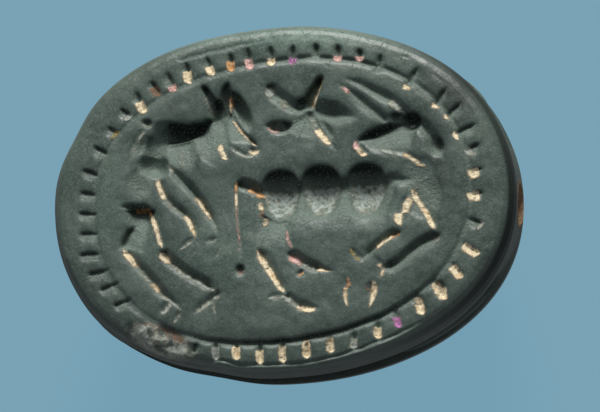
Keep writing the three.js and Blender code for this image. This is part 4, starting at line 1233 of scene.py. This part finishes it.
class SEAL_OT_stage(bpy.types.Operator):
    """Lay the floor, hang the lights and set the camera"""

    bl_idname = "seal.stage"
    bl_label = "Set the stage"

    def execute(self, context):
        stage = context.scene.seal_stage
        self.lay_floor(context, stage)
        middle = Vector((0, 0, HEIGHT * MM))
        add_light("key", KEY_PLACE, middle, KEY_SIZE, stage.key_power, KEY_COLOUR)
        add_light("fill", FILL_PLACE, middle, FILL_SIZE, FILL_POWER, FILL_COLOUR)
        world = bpy.data.worlds.new("studio")
        world.use_nodes = True
        background = world.node_tree.nodes["Background"]
        background.inputs["Color"].default_value = (*SKY_COLOUR, 1)
        background.inputs["Strength"].default_value = SKY_STRENGTH
        context.scene.world = world
        context.scene.view_settings.view_transform = "Standard"
        self.set_camera(context, stage)
        return {"FINISHED"}

    def lay_floor(self, context, stage):
        """A sheet under the stone that mostly glows, so that it takes hardly any shadow."""
        sheet = bmesh.new()
        bmesh.ops.create_grid(sheet, x_segments=2, y_segments=2, size=1.0)
        mesh = bpy.data.meshes.new("floor")
        sheet.to_mesh(mesh)
        sheet.free()
        material = bpy.data.materials.new("pale_floor")
        material.use_nodes = True
        surface = material.node_tree.nodes["Principled BSDF"]
        surface.inputs["Base Color"].default_value = (*(FLOOR_SHADE * value for value in stage.floor), 1)
        surface.inputs["Roughness"].default_value = 0.9
        surface.inputs["Emission Color"].default_value = (*stage.floor, 1)
        surface.inputs["Emission Strength"].default_value = FLOOR_GLOW
        mesh.materials.append(material)
        floor = bpy.data.objects.new("floor", mesh)
        # The floor's blue light would tint the sides of the stone
        floor.visible_diffuse = False
        floor.visible_glossy = False
        context.scene.collection.objects.link(floor)

    def set_camera(self, context, stage):
        """A camera where the photograph's was, with the stone at the same place in the picture."""
        back = Vector((math.tan(math.radians(TILT_X)), -math.tan(math.radians(TILT_Y)), 1)).normalized()
        right = Vector((0, 1, 0)).cross(back).normalized()
        up = back.cross(right)
        level = Vector((0, 0, AIM_Z * MM))
        shift_right = (PICTURE_WIDTH / 2 - MIDDLE_PX[0]) / PX_PER_MM * MM
        shift_up = (MIDDLE_PX[1] - PICTURE_HEIGHT / 2) / PX_PER_MM * MM
        aim = level + right * shift_right + up * shift_up
        data = bpy.data.cameras.new("camera")
        data.sensor_width = SENSOR
        data.lens = SENSOR * stage.camera_distance / (PICTURE_WIDTH / PX_PER_MM * MM)
        data.clip_start = 0.01
        camera = bpy.data.objects.new("camera", data)
        camera.location = aim + back * stage.camera_distance
        camera.rotation_mode = "QUATERNION"
        turn = Matrix((right, up, back)).transposed()
        camera.rotation_quaternion = turn.to_quaternion()
        context.scene.collection.objects.link(camera)
        context.scene.camera = camera


class SEAL_PT_panel(bpy.types.Panel):
    """Lists the steps and their settings"""

    bl_idname = "SEAL_PT_panel"
    bl_label = "Beetle seal"
    bl_space_type = "VIEW_3D"
    bl_region_type = "UI"
    bl_category = "Seal"

    def draw(self, context):
        scene = context.scene
        for settings, operator in ((scene.seal_stone, SEAL_OT_stone), (scene.seal_colours, None),
                                   (scene.seal_stage, SEAL_OT_stage)):
            box = self.layout.box()
            for name in settings.bl_rna.properties.keys():
                if name not in ("rna_type", "name"):
                    box.prop(settings, name)
            if operator:
                box.operator(operator.bl_idname)


CLASSES = (StoneSettings, ColourSettings, StageSettings, SEAL_OT_stone, SEAL_OT_stage, SEAL_PT_panel)


def register():
    for each in CLASSES:
        bpy.utils.register_class(each)
    bpy.types.Scene.seal_stone = PointerProperty(type=StoneSettings)
    bpy.types.Scene.seal_colours = PointerProperty(type=ColourSettings)
    bpy.types.Scene.seal_stage = PointerProperty(type=StageSettings)


def unregister():
    del bpy.types.Scene.seal_stage
    del bpy.types.Scene.seal_colours
    del bpy.types.Scene.seal_stone
    for each in reversed(CLASSES):
        bpy.utils.unregister_class(each)


def main():
    """Builds the stone and its stage."""
    register()
    bpy.ops.seal.stone()
    bpy.ops.seal.stage()


if __name__ == "__main__":
    main()
